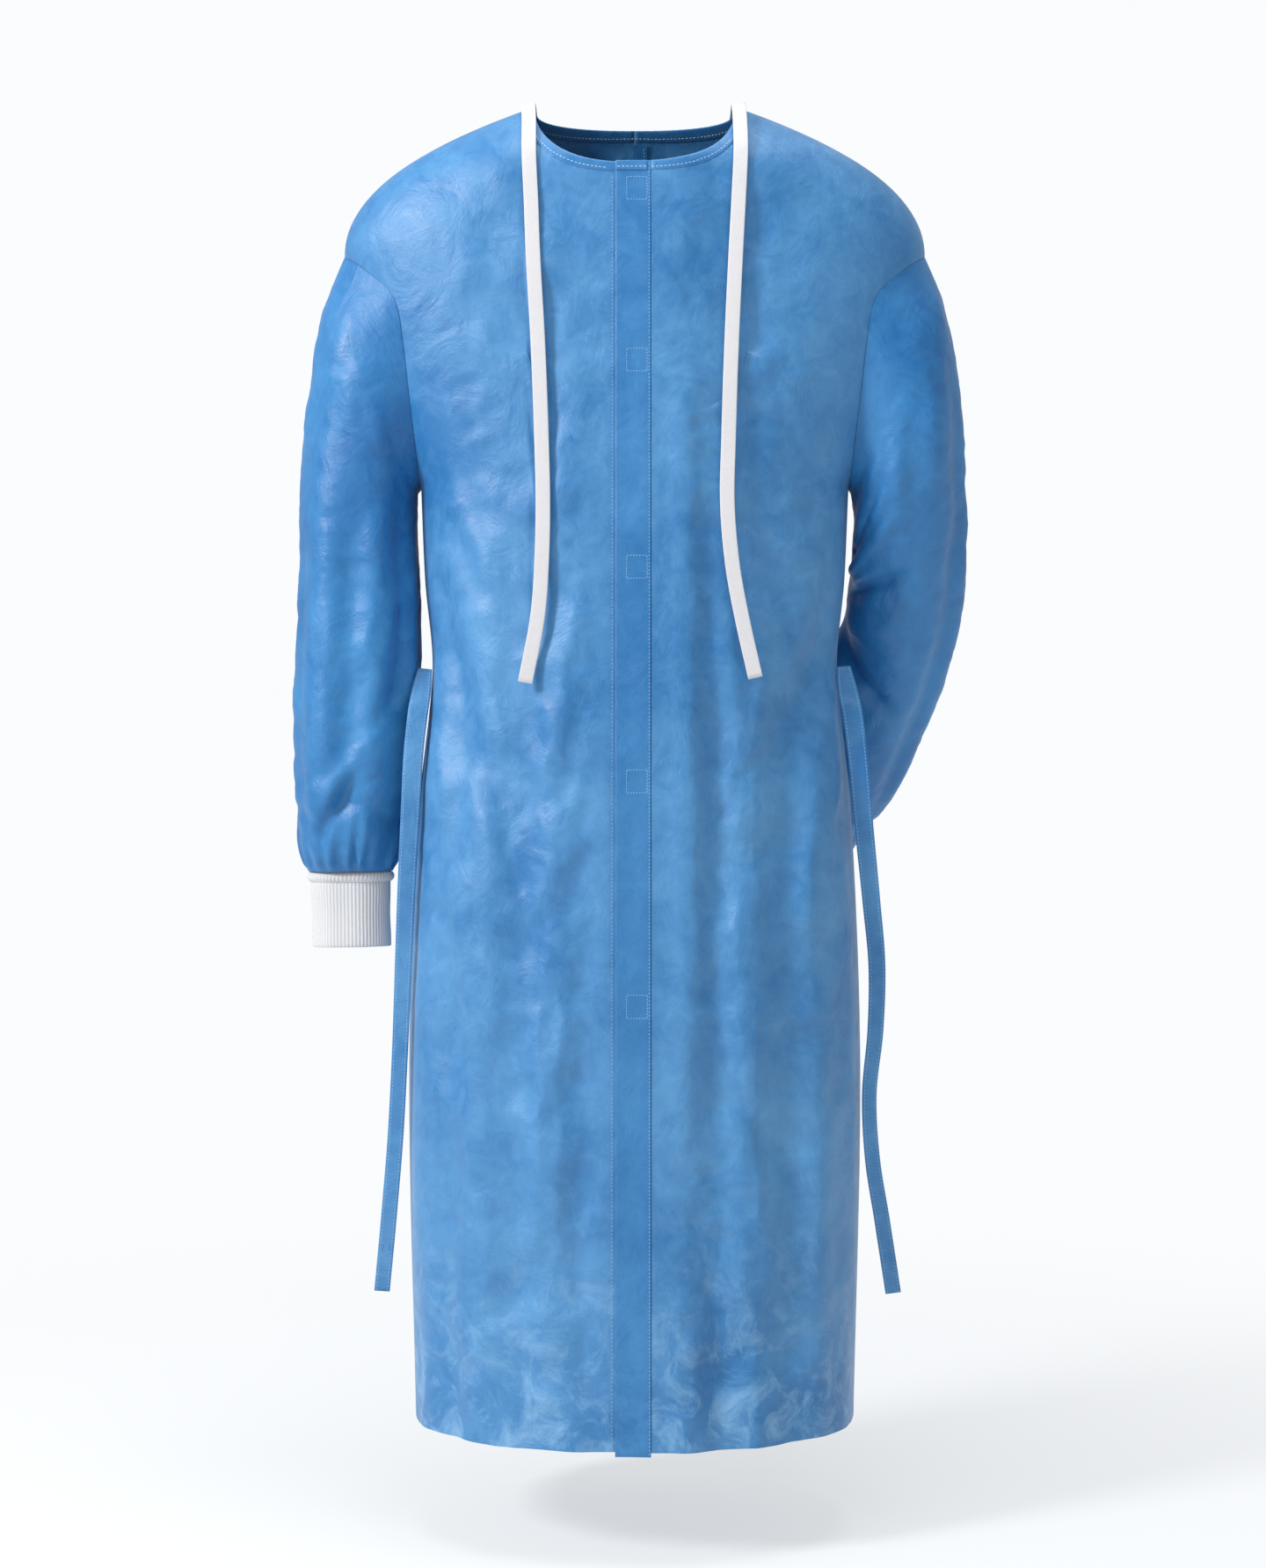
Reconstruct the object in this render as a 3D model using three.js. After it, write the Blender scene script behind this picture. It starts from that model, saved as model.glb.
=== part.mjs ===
// A front-fastening nonwoven patient gown, worn by nobody, with its right sleeve hanging
// and its left sleeve bent behind the back.
// Millimetres, +Z up, +X to the wearer's left, the front faces -Y.
// The origin is midway between the two shoulder points of the neckline, where the gown is held up.
// "Drop" is the distance below that level, so z = -drop.
import * as THREE from "three";

// ---- Driving dimensions ----
const GOWN_LENGTH = 1120; // neck point to hem
const NECK_HALF_WIDTH = 85;
const FRONT_NECK_DROP = 66;
const BACK_NECK_DROP = 4;
const SHOULDER_HALF_WIDTH = 250; // to the top of the dropped armhole seam
const SHOULDER_DROP = 128;
const ARMPIT_DROP = 325;
const CHEST_HALF_WIDTH = 184;
const WAIST_DROP = 485;
const WAIST_HALF_WIDTH = 174;
const HIP_DROP = 825;
const HIP_HALF_WIDTH = 194;
const HEM_HALF_WIDTH = 188;
const FRONT_DEPTH_NECK = 92; // centre line to the front edge, at the neckline
const FRONT_DEPTH_HEM = 144; // the front edge is straight between those two, so the flap can hinge on it

const FABRIC = 1.5; // one layer of the shell
const STRIP = 0.8; // facings, bindings and hook-and-loop tabs
const SEAM_GAP = 0.3; // between pieces that are sewn together
const BINDING_GAP = 0.6; // between the neckline's binding and the panels, which tilt at that seam
const LAP_GAP = 0.6; // between the layers of the front closure

const FLAP_WIDTH = 29;
const STITCH_LINE = 13.2; // x of the flap's stitched edge, which is its fold
const UNDERLAP = 29; // how far the wearer's right panel runs under the left one
const FACING_WIDTH = 50;
const FLAP_LONGER = 3; // the flap hangs below the hem by this
const TAB_WIDTH = 18;
const TAB_HEIGHT = 20;
const TAB_X = 1.7; // centre of the hook-and-loop tabs
const TAB_DROPS = [79, 222, 393, 569, 752]; // top edges
const BINDING_WIDTH = 8;
const FOLD_ROOM = 2.5; // the flap's binding stops this far short of the fold
const BINDING_THICKNESS = 2; // the panel's edge with a folded strip round it

const CUFF_LENGTH = 64;
const CUFF_HALF_WIDTH = 33;
const CUFF_HALF_DEPTH = 17;
const CUFF_WALL = 2;
const CUFF_BAND = 9; // height of the rolled seam where the sleeve is gathered into the cuff

const NECK_TIE_WIDTH = 12;
const WAIST_TIE_WIDTH = 15;
const TIE_THICKNESS = 1.2;

// ---- Mesh resolution ----
const RING = 24; // segments round a sleeve, and twice the rows along one side of an armhole
const SIDE_ROWS = 8;
const NECK_COLUMNS = 8;
const RIDGE_COLUMNS = 6;
const NECK_SHARE = 0.5; // share of a panel's hem that hangs below its neckline columns

const BLUE = 0x5c9fd6;
const WHITE = 0xeceaec;
const FULLNESS = 2.3; // exponent of the body's oval sections, 2 being an ellipse

// ---- Small tools ----
const at = (x, y, z) => new THREE.Vector3(x, y, z);
const mix = (a, b, t) => a + (b - a) * t;

// A smooth curve through [place, value, value, ...] rows, read at one place for one column.
function smooth(rows, place, column = 1) {
  const last = rows.length - 1;
  let i = 0;
  while (i < last - 1 && rows[i + 1][0] < place) i++;
  const slope = (k) => {
    const a = rows[Math.max(k - 1, 0)];
    const b = rows[Math.min(k + 1, last)];
    return (b[column] - a[column]) / (b[0] - a[0]);
  };
  const span = rows[i + 1][0] - rows[i][0];
  const t = Math.min(Math.max((place - rows[i][0]) / span, 0), 1);
  const t2 = t * t;
  const t3 = t2 * t;
  return (
    (2 * t3 - 3 * t2 + 1) * rows[i][column] +
    (t3 - 2 * t2 + t) * span * slope(i) +
    (3 * t2 - 2 * t3) * rows[i + 1][column] +
    (t3 - t2) * span * slope(i + 1)
  );
}

// A closed sheet of cloth: rows of points on its middle surface, with their normals.
function sheet(points, normals, thickness, { lift = 0, tube = false } = {}) {
  const rows = points.length;
  const columns = points[0].length;
  const place = [];
  for (const side of [0.5, -0.5])
    points.forEach((row, i) =>
      row.forEach((p, j) => {
        const q = p.clone().addScaledVector(normals[i][j], lift + side * thickness);
        place.push(q.x, q.y, q.z);
      }),
    );
  const half = rows * columns;
  const id = (i, j, layer) => layer * half + i * columns + (j % columns);
  const faces = [];
  const quad = (a, b, c, d) => faces.push(a, b, c, a, c, d);
  const across = tube ? columns : columns - 1;
  for (let i = 0; i < rows - 1; i++)
    for (let j = 0; j < across; j++) {
      quad(id(i, j, 0), id(i + 1, j, 0), id(i + 1, j + 1, 0), id(i, j + 1, 0));
      quad(id(i, j, 1), id(i, j + 1, 1), id(i + 1, j + 1, 1), id(i + 1, j, 1));
    }
  for (let j = 0; j < across; j++) {
    quad(id(0, j, 0), id(0, j + 1, 0), id(0, j + 1, 1), id(0, j, 1));
    quad(id(rows - 1, j, 0), id(rows - 1, j, 1), id(rows - 1, j + 1, 1), id(rows - 1, j + 1, 0));
  }
  if (!tube)
    for (let i = 0; i < rows - 1; i++) {
      quad(id(i, 0, 0), id(i, 0, 1), id(i + 1, 0, 1), id(i + 1, 0, 0));
      const e = columns - 1;
      quad(id(i, e, 0), id(i + 1, e, 0), id(i + 1, e, 1), id(i, e, 1));
    }
  return facingOut(place, faces);
}

// The geometry of a closed mesh, turned inside out if its faces point inwards.
function facingOut(place, faces) {
  const corner = (k) => at(place[3 * k], place[3 * k + 1], place[3 * k + 2]);
  let volume = 0;
  for (let k = 0; k < faces.length; k += 3)
    volume += corner(faces[k]).dot(corner(faces[k + 1]).cross(corner(faces[k + 2])));
  if (volume < 0)
    for (let k = 0; k < faces.length; k += 3)
      [faces[k + 1], faces[k + 2]] = [faces[k + 2], faces[k + 1]];
  const geometry = new THREE.BufferGeometry();
  geometry.setAttribute("position", new THREE.Float32BufferAttribute(place, 3));
  geometry.setIndex(faces);
  geometry.computeVertexNormals();
  return geometry;
}

const fabricBlue = new THREE.MeshStandardMaterial({ color: BLUE, roughness: 0.62, metalness: 0 });
const tapeWhite = new THREE.MeshStandardMaterial({ color: WHITE, roughness: 0.8, metalness: 0 });
const ribWhite = new THREE.MeshStandardMaterial({ color: 0xe6e5e6, roughness: 0.9, metalness: 0 });
const tabBlue = new THREE.MeshStandardMaterial({ color: 0x4a8cc4, roughness: 0.95, metalness: 0 });

const gown = new THREE.Group();
function add(name, geometry, material) {
  const mesh = new THREE.Mesh(geometry, material);
  mesh.name = name;
  gown.add(mesh);
}

// ---- The body's surface: oval sections from the neck to the hem ----
const ARMHOLE_HEIGHT = ARMPIT_DROP - SHOULDER_DROP;
const RIDGE_CURVE = 2.2; // how fast the shoulder line steepens towards the armhole
const NECK_ROUND = 2.6; // exponent of the neckline, 2 being an ellipse
const overArm = [[0, 1], [0.22, 0.85], [0.39, 0.7], [0.6, 0.485], [0.82, 0.225], [1, 0]];
const belowArm = [
  [ARMPIT_DROP, CHEST_HALF_WIDTH],
  [mix(ARMPIT_DROP, WAIST_DROP, 0.5), mix(CHEST_HALF_WIDTH, WAIST_HALF_WIDTH, 0.35)],
  [WAIST_DROP, WAIST_HALF_WIDTH],
  [mix(WAIST_DROP, HIP_DROP, 0.35), mix(WAIST_HALF_WIDTH, HIP_HALF_WIDTH, 0.6)],
  [HIP_DROP, HIP_HALF_WIDTH],
  [GOWN_LENGTH, HEM_HALF_WIDTH],
];
const backDepths = [
  [0, 44],
  [20, 62],
  [FRONT_NECK_DROP, 84],
  [SHOULDER_DROP, 98],
  [ARMPIT_DROP, 112],
  [WAIST_DROP, 104],
  [HIP_DROP, 118],
  [GOWN_LENGTH, 132],
];

function halfWidth(drop) {
  if (drop < SHOULDER_DROP) {
    const left = 1 - Math.max(drop, 0) / SHOULDER_DROP;
    return mix(NECK_HALF_WIDTH, SHOULDER_HALF_WIDTH, 1 - Math.pow(left, RIDGE_CURVE));
  }
  if (drop < ARMPIT_DROP) {
    const share = smooth(overArm, (drop - SHOULDER_DROP) / ARMHOLE_HEIGHT);
    return mix(CHEST_HALF_WIDTH, SHOULDER_HALF_WIDTH, share);
  }
  return smooth(belowArm, drop);
}

function frontDepth(drop) {
  const t = (drop - FRONT_NECK_DROP) / (GOWN_LENGTH - FRONT_NECK_DROP);
  if (t < 0) return FRONT_DEPTH_NECK - 42 * Math.pow(-t * (GOWN_LENGTH / FRONT_NECK_DROP - 1), 1.6);
  return mix(FRONT_DEPTH_NECK, FRONT_DEPTH_HEM, t);
}

// 0 on the body's surface, more outside it. face is -1 in front and 1 behind.
function outside(x, y, z, face) {
  const depth = face < 0 ? frontDepth(-z) : smooth(backDepths, -z);
  return Math.pow(Math.abs(x) / halfWidth(-z), FULLNESS) + Math.pow(Math.abs(y) / depth, FULLNESS) - 1;
}

// The point of the body's surface at x and drop, and its outward normal.
function onBody(x, drop, face) {
  const depth = face < 0 ? frontDepth(drop) : smooth(backDepths, drop);
  const share = Math.min(Math.abs(x) / halfWidth(drop), 1);
  const y = face * depth * Math.pow(1 - Math.pow(share, FULLNESS), 1 / FULLNESS);
  const point = at(x, y, -drop);
  const step = 0.5;
  const slope = (dx, dy, dz) =>
    outside(x + dx, y + dy, -drop + dz, face) - outside(x - dx, y - dy, -drop - dz, face);
  const normal = at(slope(step, 0, 0), slope(0, step, 0), slope(0, 0, step));
  if (share > 0.9999) normal.y = 0;
  return { point, normal: normal.normalize() };
}

// The shoulder line's drop at a distance x from the centre.
function shoulderDrop(x) {
  const out = (x - NECK_HALF_WIDTH) / (SHOULDER_HALF_WIDTH - NECK_HALF_WIDTH);
  return SHOULDER_DROP * (1 - Math.pow(1 - out, 1 / RIDGE_CURVE));
}

// Place j of NECK_COLUMNS round a neckline that is widened by grow, as [x, drop].
// The places lie closer together towards the shoulder, where the neckline bends over it.
function neckline(j, grow, face, edge) {
  const across = NECK_HALF_WIDTH + grow;
  const deep = grow + (face < 0 ? FRONT_NECK_DROP : BACK_NECK_DROP);
  const turn = mix(Math.PI / 2, Math.asin(edge / across), Math.pow(1 - j / NECK_COLUMNS, 1.5));
  const share = Math.sin(turn);
  const curve = Math.pow(1 - Math.pow(Math.abs(share), NECK_ROUND), 1 / NECK_ROUND);
  return [across * share, deep * curve + shoulderDrop(across) * share];
}

const armholeShape = [[0, 1], [0.1, 0.636], [0.22, 0.288], [0.39, 0.174], [0.6, 0.106], [0.82, 0.038], [1, 0]];
// Place k of RING / 2 down an armhole seam, as [x, drop].
function armhole(k) {
  const down = (1 - Math.cos((2 * Math.PI * k) / RING)) / 2;
  const x = mix(CHEST_HALF_WIDTH, SHOULDER_HALF_WIDTH, smooth(armholeShape, down));
  return [x, mix(SHOULDER_DROP, ARMPIT_DROP, down)];
}

// ---- Front and back panels ----
// side is -1 on the wearer's right and 1 on the left; edge is where the panel's centre edge lies,
// counted towards its own side; lift(x) raises the panel clear of what it laps over.
function panelGrid(side, face, edge, lift) {
  const armRows = RING / 2;
  const rows = armRows + SIDE_ROWS;
  const columns = NECK_COLUMNS + RIDGE_COLUMNS;
  const outerEdge = (i) => {
    if (i <= armRows) return armhole(i);
    const drop = mix(ARMPIT_DROP, GOWN_LENGTH, (i - armRows) / SIDE_ROWS);
    return [halfWidth(drop), drop];
  };
  const down = (i) => (outerEdge(i)[1] - SHOULDER_DROP) / (GOWN_LENGTH - SHOULDER_DROP);
  const alongRidge = (j) => Math.max(j - NECK_COLUMNS, 0) / RIDGE_COLUMNS;
  const spread = (j) => {
    if (j <= NECK_COLUMNS) return (j / NECK_COLUMNS) * NECK_SHARE;
    return mix(NECK_SHARE, 1, Math.sin((Math.PI / 2) * alongRidge(j)));
  };
  const top = (j) => {
    if (j <= NECK_COLUMNS) return neckline(j, BINDING_WIDTH + BINDING_GAP, face, edge);
    const start = shoulderDrop(NECK_HALF_WIDTH + BINDING_WIDTH + BINDING_GAP);
    const drop = mix(start, SHOULDER_DROP, Math.pow(alongRidge(j), 1.6));
    return [halfWidth(drop), drop];
  };
  const bottom = (j) => [mix(edge, halfWidth(GOWN_LENGTH), spread(j)), GOWN_LENGTH];
  const points = [];
  const normals = [];
  for (let i = 0; i <= rows; i++) {
    points.push([]);
    normals.push([]);
    for (let j = 0; j <= columns; j++) {
      // A straight line from top to bottom, drawn in to follow the armhole and side near the outer edge.
      const reach = alongRidge(j) * alongRidge(j) * (3 - 2 * alongRidge(j));
      const drawn = outerEdge(i)[0] - mix(SHOULDER_HALF_WIDTH, halfWidth(GOWN_LENGTH), down(i));
      const x = mix(top(j)[0], bottom(j)[0], down(i)) + reach * drawn;
      const drop = mix(top(j)[1], bottom(j)[1], down(i));
      const { point, normal } = onBody(side * x, drop, face);
      // Front and back panels stop half a seam gap short of each other at the shoulder and side.
      if (Math.abs(point.y) < SEAM_GAP / 2) point.y = (face * SEAM_GAP) / 2;
      point.addScaledVector(normal, lift(x));
      points[i].push(point);
      normals[i].push(normal);
    }
  }
  return { points, normals };
}

function addPanel(name, side, face, edge, lift = () => 0) {
  const { points, normals } = panelGrid(side, face, edge, lift);
  add(name, sheet(points, normals, FABRIC), fabricBlue);
}

// Heights of the closure's layers above the right panel's middle surface, from the inside out.
const UNDERLAP_FACING_LIFT = -(FABRIC / 2 + LAP_GAP + STRIP / 2);
const LOOP_TAB_LIFT = FABRIC / 2 + LAP_GAP + STRIP / 2;
const HOOK_TAB_LIFT = LOOP_TAB_LIFT + STRIP + SEAM_GAP;
const FLAP_FACING_LIFT = HOOK_TAB_LIFT + STRIP + SEAM_GAP;
const FLAP_LIFT = FLAP_FACING_LIFT + STRIP + SEAM_GAP;
const LAP_FADE = 45; // the left panel comes back to the body's surface this far from its edge
const FLAP_PROUD = 0.1; // the flap's face stands this far in front of the binding's, to fold over it

function leftPanelLift(x) {
  const t = Math.min(Math.max((x - UNDERLAP) / LAP_FADE, 0), 1);
  const edgeLift = FLAP_LIFT + STRIP / 2 - FLAP_PROUD - BINDING_THICKNESS / 2;
  return edgeLift * (1 - t * t * (3 - 2 * t));
}

addPanel("right_front_panel", -1, -1, -UNDERLAP);
addPanel("left_front_panel", 1, -1, STITCH_LINE + SEAM_GAP / 2, leftPanelLift);
addPanel("right_back_panel", -1, 1, SEAM_GAP / 2);
addPanel("left_back_panel", 1, 1, SEAM_GAP / 2);

// ---- Front closure ----
// A strip that lies flat across the front, lifted straight forward from the front edge's line.
function addStrip(name, [x0, x1], [drop0, drop1], lift, material, rows = 12) {
  const points = [];
  const normals = [];
  for (let i = 0; i <= rows; i++) {
    const drop = mix(drop0, drop1, i / rows);
    points.push([x0, x1].map((x) => at(x, -frontDepth(drop) - lift, -drop)));
    normals.push([at(0, -1, 0), at(0, -1, 0)]);
  }
  add(name, sheet(points, normals, STRIP), material);
}

// A strip that follows the right front panel round the body.
function addFollowingStrip(name, [x0, x1], [drop0, drop1], lift, material, rows = 12) {
  const points = [];
  const normals = [];
  for (let i = 0; i <= rows; i++) {
    const drop = mix(drop0, drop1, i / rows);
    const row = [0, 1 / 3, 2 / 3, 1].map((t) => onBody(mix(x0, x1, t), drop, -1));
    points.push(row.map(({ point, normal }) => point.addScaledVector(normal, lift)));
    normals.push(row.map(({ normal }) => normal));
  }
  add(name, sheet(points, normals, STRIP), material);
}

const FLAP_EDGE = STITCH_LINE - SEAM_GAP / 2;
const flapSpan = [FLAP_EDGE - FLAP_WIDTH, FLAP_EDGE];
const facingSpan = [UNDERLAP - FACING_WIDTH, UNDERLAP];
const UNDER_BINDING = FRONT_NECK_DROP + BINDING_WIDTH + 1;
const flapDrops = [FRONT_NECK_DROP, GOWN_LENGTH + FLAP_LONGER];
addStrip("placket_flap", flapSpan, flapDrops, FLAP_LIFT, fabricBlue);
addStrip("flap_facing", flapSpan, flapDrops, FLAP_FACING_LIFT, fabricBlue);
addFollowingStrip("underlap_facing", facingSpan, [UNDER_BINDING, GOWN_LENGTH], UNDERLAP_FACING_LIFT, fabricBlue);

const tabSpan = [TAB_X - TAB_WIDTH / 2, TAB_X + TAB_WIDTH / 2];
TAB_DROPS.forEach((drop, k) => {
  const span = [drop, drop + TAB_HEIGHT];
  addStrip(`hook_tab_${k + 1}`, tabSpan, span, HOOK_TAB_LIFT, tabBlue, 1);
  addStrip(`loop_tab_${k + 1}`, tabSpan, span, LOOP_TAB_LIFT, tabBlue, 1);
});

// ---- Neck binding: the folded strip that edges the neckline ----
function addBinding(name, side, face, edge, lift = () => 0) {
  const points = [];
  const normals = [];
  for (const grow of [0, BINDING_WIDTH]) {
    const row = [];
    for (let j = 0; j <= NECK_COLUMNS; j++) {
      const [x, drop] = neckline(j, grow, face, edge);
      const { point, normal } = onBody(side * x, drop, face);
      if (Math.abs(point.y) < SEAM_GAP / 2) point.y = (face * SEAM_GAP) / 2;
      point.addScaledVector(normal, lift(x));
      row.push({ point, normal });
    }
    points.push(row.map(({ point }) => point));
    normals.push(row.map(({ normal }) => normal));
  }
  add(name, sheet(points, normals, BINDING_THICKNESS), fabricBlue);
}

addBinding("right_neck_binding", -1, -1, -UNDERLAP);
addBinding("left_neck_binding", 1, -1, STITCH_LINE + SEAM_GAP / 2, leftPanelLift);
addBinding("right_back_neck_binding", -1, 1, SEAM_GAP / 2);
addBinding("left_back_neck_binding", 1, 1, SEAM_GAP / 2);
const flapBindingSpan = [flapSpan[0], FLAP_EDGE - FOLD_ROOM];
const flapBindingDrops = [FRONT_NECK_DROP, FRONT_NECK_DROP + BINDING_WIDTH];
addStrip("flap_neck_binding", flapBindingSpan, flapBindingDrops, FLAP_LIFT + STRIP + SEAM_GAP, fabricBlue, 1);

// ---- Sleeves: rings from the armhole seam to the wrist ----
// A station is [outer x, outer drop, inner x, inner drop, centre y, half depth].
// It lies between the armpit, on the inside of the arm, and the outline of the arm.
const INNER = CHEST_HALF_WIDTH + 4;
const upperArm = [
  [266, 166, INNER, 332, 0, 61],
  [276, 212, INNER + 2, 344, 0, 58],
  [284, 266, INNER + 2, 360, 0, 55],
];
const hangingArm = [
  ...upperArm,
  [288, 325, INNER, 384, -2, 53],
  [290, 392, INNER - 2, 425, -4, 51],
  [293, 458, INNER - 4, 472, -7, 49],
  [295, 520, INNER - 3, 522, -9, 48],
  [295, 570, INNER + 1, 570, -11, 46],
  [291, 614, INNER + 8, 612, -12, 42],
  [286, 640, INNER + 14, 638, -12, 35],
  [280, 656, INNER + 20, 655, -12, 24],
];
const HANGING_SPLIT = upperArm.length; // the moving sleeve starts at this station

// A ring has a centre, the directions and half sizes of its width and depth, and the arm's direction.
function stationRing([outerX, outerDrop, innerX, innerDrop, y, depth]) {
  const outer = at(outerX, y, -outerDrop);
  const inner = at(innerX, y, -innerDrop);
  const width = outer.clone().sub(inner);
  const along = at(0, 1, 0).cross(width).normalize();
  return {
    centre: outer.clone().add(inner).multiplyScalar(0.5),
    wide: width.clone().normalize(),
    deep: at(0, 1, 0),
    halfWidth: width.length() / 2,
    halfDepth: depth,
    along,
  };
}

// The bent forearm runs straight from the elbow, inwards, behind the back and down.
const FOREARM_DIRECTION = at(-0.32, 0.475, -0.82).normalize();
function forearmRing(centre, halfWidth, halfDepth) {
  const wide = at(1, 0, -0.45).projectOnPlane(FOREARM_DIRECTION).normalize();
  return {
    centre,
    wide,
    deep: FOREARM_DIRECTION.clone().cross(wide).negate(),
    halfWidth,
    halfDepth,
    along: FOREARM_DIRECTION.clone(),
  };
}

const ELBOW = at(232, 58, -451);
const onForearm = (distance) => ELBOW.clone().addScaledVector(FOREARM_DIRECTION, distance);
const bentArm = [
  ...upperArm.map(stationRing),
  stationRing([288, 320, INNER + 1, 376, 14, 53]),
  stationRing([288, 372, INNER + 1, 394, 27, 52]),
  stationRing([285, 424, INNER, 412, 42, 51]),
  forearmRing(ELBOW, 49, 49),
  forearmRing(onForearm(52), 52, 48),
  forearmRing(onForearm(100), 52, 46),
  forearmRing(onForearm(142), 50, 43),
  forearmRing(onForearm(182), 46, 38),
  forearmRing(onForearm(212), 40, 30),
  forearmRing(onForearm(226), CUFF_HALF_WIDTH + 3, 22),
];

function ringPoint(ring, k) {
  const turn = (2 * Math.PI * k) / RING;
  return ring.centre
    .clone()
    .addScaledVector(ring.wide, ring.halfWidth * Math.cos(turn))
    .addScaledVector(ring.deep, -ring.halfDepth * Math.sin(turn));
}

// The armhole seam as a row of points, raised clear of the panels that it is sewn to.
function armholeRow() {
  const points = [];
  const normals = [];
  for (let k = 0; k < RING; k++) {
    const front = k <= RING / 2;
    const [x, drop] = armhole(front ? k : RING - k);
    const { point, normal } = onBody(x, drop, front ? -1 : 1);
    points.push(point.addScaledVector(normal, FABRIC + SEAM_GAP));
    normals.push(normal);
  }
  return { points, normals };
}

// A ring as a row of points with their outward normals, which lie in the ring's own plane.
function ringRow(ring) {
  const points = Array.from({ length: RING }, (_, k) => ringPoint(ring, k));
  const normals = points.map((p, k) => {
    const round = points[(k + 1) % RING].clone().sub(points[(k + RING - 1) % RING]);
    return ring.along.clone().cross(round).normalize();
  });
  return { points, normals };
}

function addTube(name, rows, side, thickness, material) {
  const placed = (key) => rows.map((row) => row[key].map((p) => at(side * p.x, p.y, p.z)));
  add(name, sheet(placed("points"), placed("normals"), thickness, { tube: true }), material);
}

const moved = (ring, distance) => ({ ...ring, centre: ring.centre.clone().addScaledVector(ring.along, distance) });

function addSleeve(name, side, rings) {
  const split = rings[HANGING_SPLIT - 1];
  const head = [...rings.slice(0, HANGING_SPLIT - 1), moved(split, -SEAM_GAP / 2)];
  addTube(`${name}_sleeve_head`, [armholeRow(), ...head.map(ringRow)], side, FABRIC, fabricBlue);
  const sleeve = [moved(split, SEAM_GAP / 2), ...rings.slice(HANGING_SPLIT)];
  addTube(`${name}_sleeve`, sleeve.map(ringRow), side, FABRIC, fabricBlue);
  addCuff(name, side, rings[rings.length - 1]);
}

// A knitted cuff: a rolled band at the gathered seam, then a straight ribbed tube.
function addCuff(name, side, wrist) {
  const ring = (down, grow) => ({
    ...moved(wrist, down + SEAM_GAP),
    halfWidth: CUFF_HALF_WIDTH + grow,
    halfDepth: CUFF_HALF_DEPTH + grow,
  });
  const band = [ring(0, 3), ring(CUFF_BAND * 0.4, 4), ring(CUFF_BAND, 1)];
  addTube(`${name}_cuff_band`, band.map(ringRow), side, CUFF_WALL, ribWhite);
  const top = CUFF_BAND + SEAM_GAP;
  const cuff = [ring(top, 1), ring(top + CUFF_LENGTH * 0.3, 0), ring(top + CUFF_LENGTH - CUFF_BAND, 0.5)];
  addTube(`${name}_cuff`, cuff.map(ringRow), side, CUFF_WALL, ribWhite);
}

addSleeve("right", -1, hangingArm.map(stationRing));
addSleeve("left", 1, bentArm);

// ---- Ties: flat tapes that hang free ----
// A tape's section is a thin octagon, its width along x.
function tapeSection(width) {
  const [w, t, round] = [width / 2, TIE_THICKNESS / 2, TIE_THICKNESS / 4];
  const corners = [[w, round], [w - round, t], [round - w, t], [-w, round]];
  const turned = corners.map(([x, y]) => [-x, -y]);
  return new THREE.Shape([...corners, ...turned].map(([x, y]) => new THREE.Vector2(x, y)));
}

function addTie(name, route, width, steps, material) {
  const path = new THREE.CatmullRomCurve3(route.map(([x, y, z]) => at(x, y, z)), false, "centripetal");
  const settings = { steps, extrudePath: path, bevelEnabled: false };
  add(name, new THREE.ExtrudeGeometry(tapeSection(width), settings), material);
}

// Neck ties: sewn to the back of the neckline, laid over the shoulder and down the chest.
const rightNeckTie = [
  [-90.5, 33, -3.9], [-91, 18, 0.8], [-91, 0, 2.6], [-91, -20, 0.9], [-90.5, -38.5, -4], [-89.5, -54.5, -13],
  [-88.5, -72, -28], [-88, -86.4, -49], [-87.5, -90.6, -66], [-86, -93.4, -95], [-84, -97.2, -145],
  [-80, -100.8, -215], [-77, -104.4, -290], [-75.5, -107.2, -350], [-76.5, -109.4, -400], [-80, -110.7, -445],
  [-90, -111.2, -498],
];
const leftNeckTie = [
  [88, 33, -3.3], [89, 18, 1.1], [89, 0, 2.6], [88.5, -20, 0.9], [88, -39, -3.8], [88, -55, -13],
  [88, -72.4, -28], [88, -86.6, -49], [87.5, -90.8, -66], [86, -93.6, -95], [83, -97.6, -150],
  [79.5, -101.7, -225], [77, -105.2, -300], [76, -107.7, -350], [80, -109.4, -400], [88, -110.2, -445],
  [99, -110.7, -494],
];
addTie("right_neck_tie", rightNeckTie, NECK_TIE_WIDTH, 36, tapeWhite);
addTie("left_neck_tie", leftNeckTie, NECK_TIE_WIDTH, 36, tapeWhite);

// Waist ties: sewn into the side seams, hanging clear in front of the sleeves.
const rightWaistTie = [
  [-179, -28.6, -483], [-180, -32.4, -491], [-181.5, -37.3, -503], [-183.5, -45, -520], [-187, -49, -555],
  [-190, -49, -610], [-193, -49, -670], [-196, -47, -740], [-199, -44, -810], [-203, -41, -880],
  [-209, -38, -950], [-215, -35, -1012],
];
const leftWaistTie = [
  [178, -31.9, -481], [179, -35.1, -490], [181, -39.3, -503], [184.5, -46, -523], [189, -50, -565],
  [194, -49, -620], [200, -48, -680], [205, -45, -735], [204, -42, -790], [199, -40, -845],
  [202, -38, -900], [210, -36, -950], [220, -34, -1014],
];
addTie("right_waist_tie", rightWaistTie, WAIST_TIE_WIDTH, 24, fabricBlue);
addTie("left_waist_tie", leftWaistTie, WAIST_TIE_WIDTH, 24, fabricBlue);

export default gown;
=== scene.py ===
# %% [markdown]
# # A patient gown of light blue nonwoven cloth
# The CAD frame gives every length and every joint of the gown. It is loaded first and never changed.
# Each piece of cloth made below lies on the surface of the CAD piece that it replaces.

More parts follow.
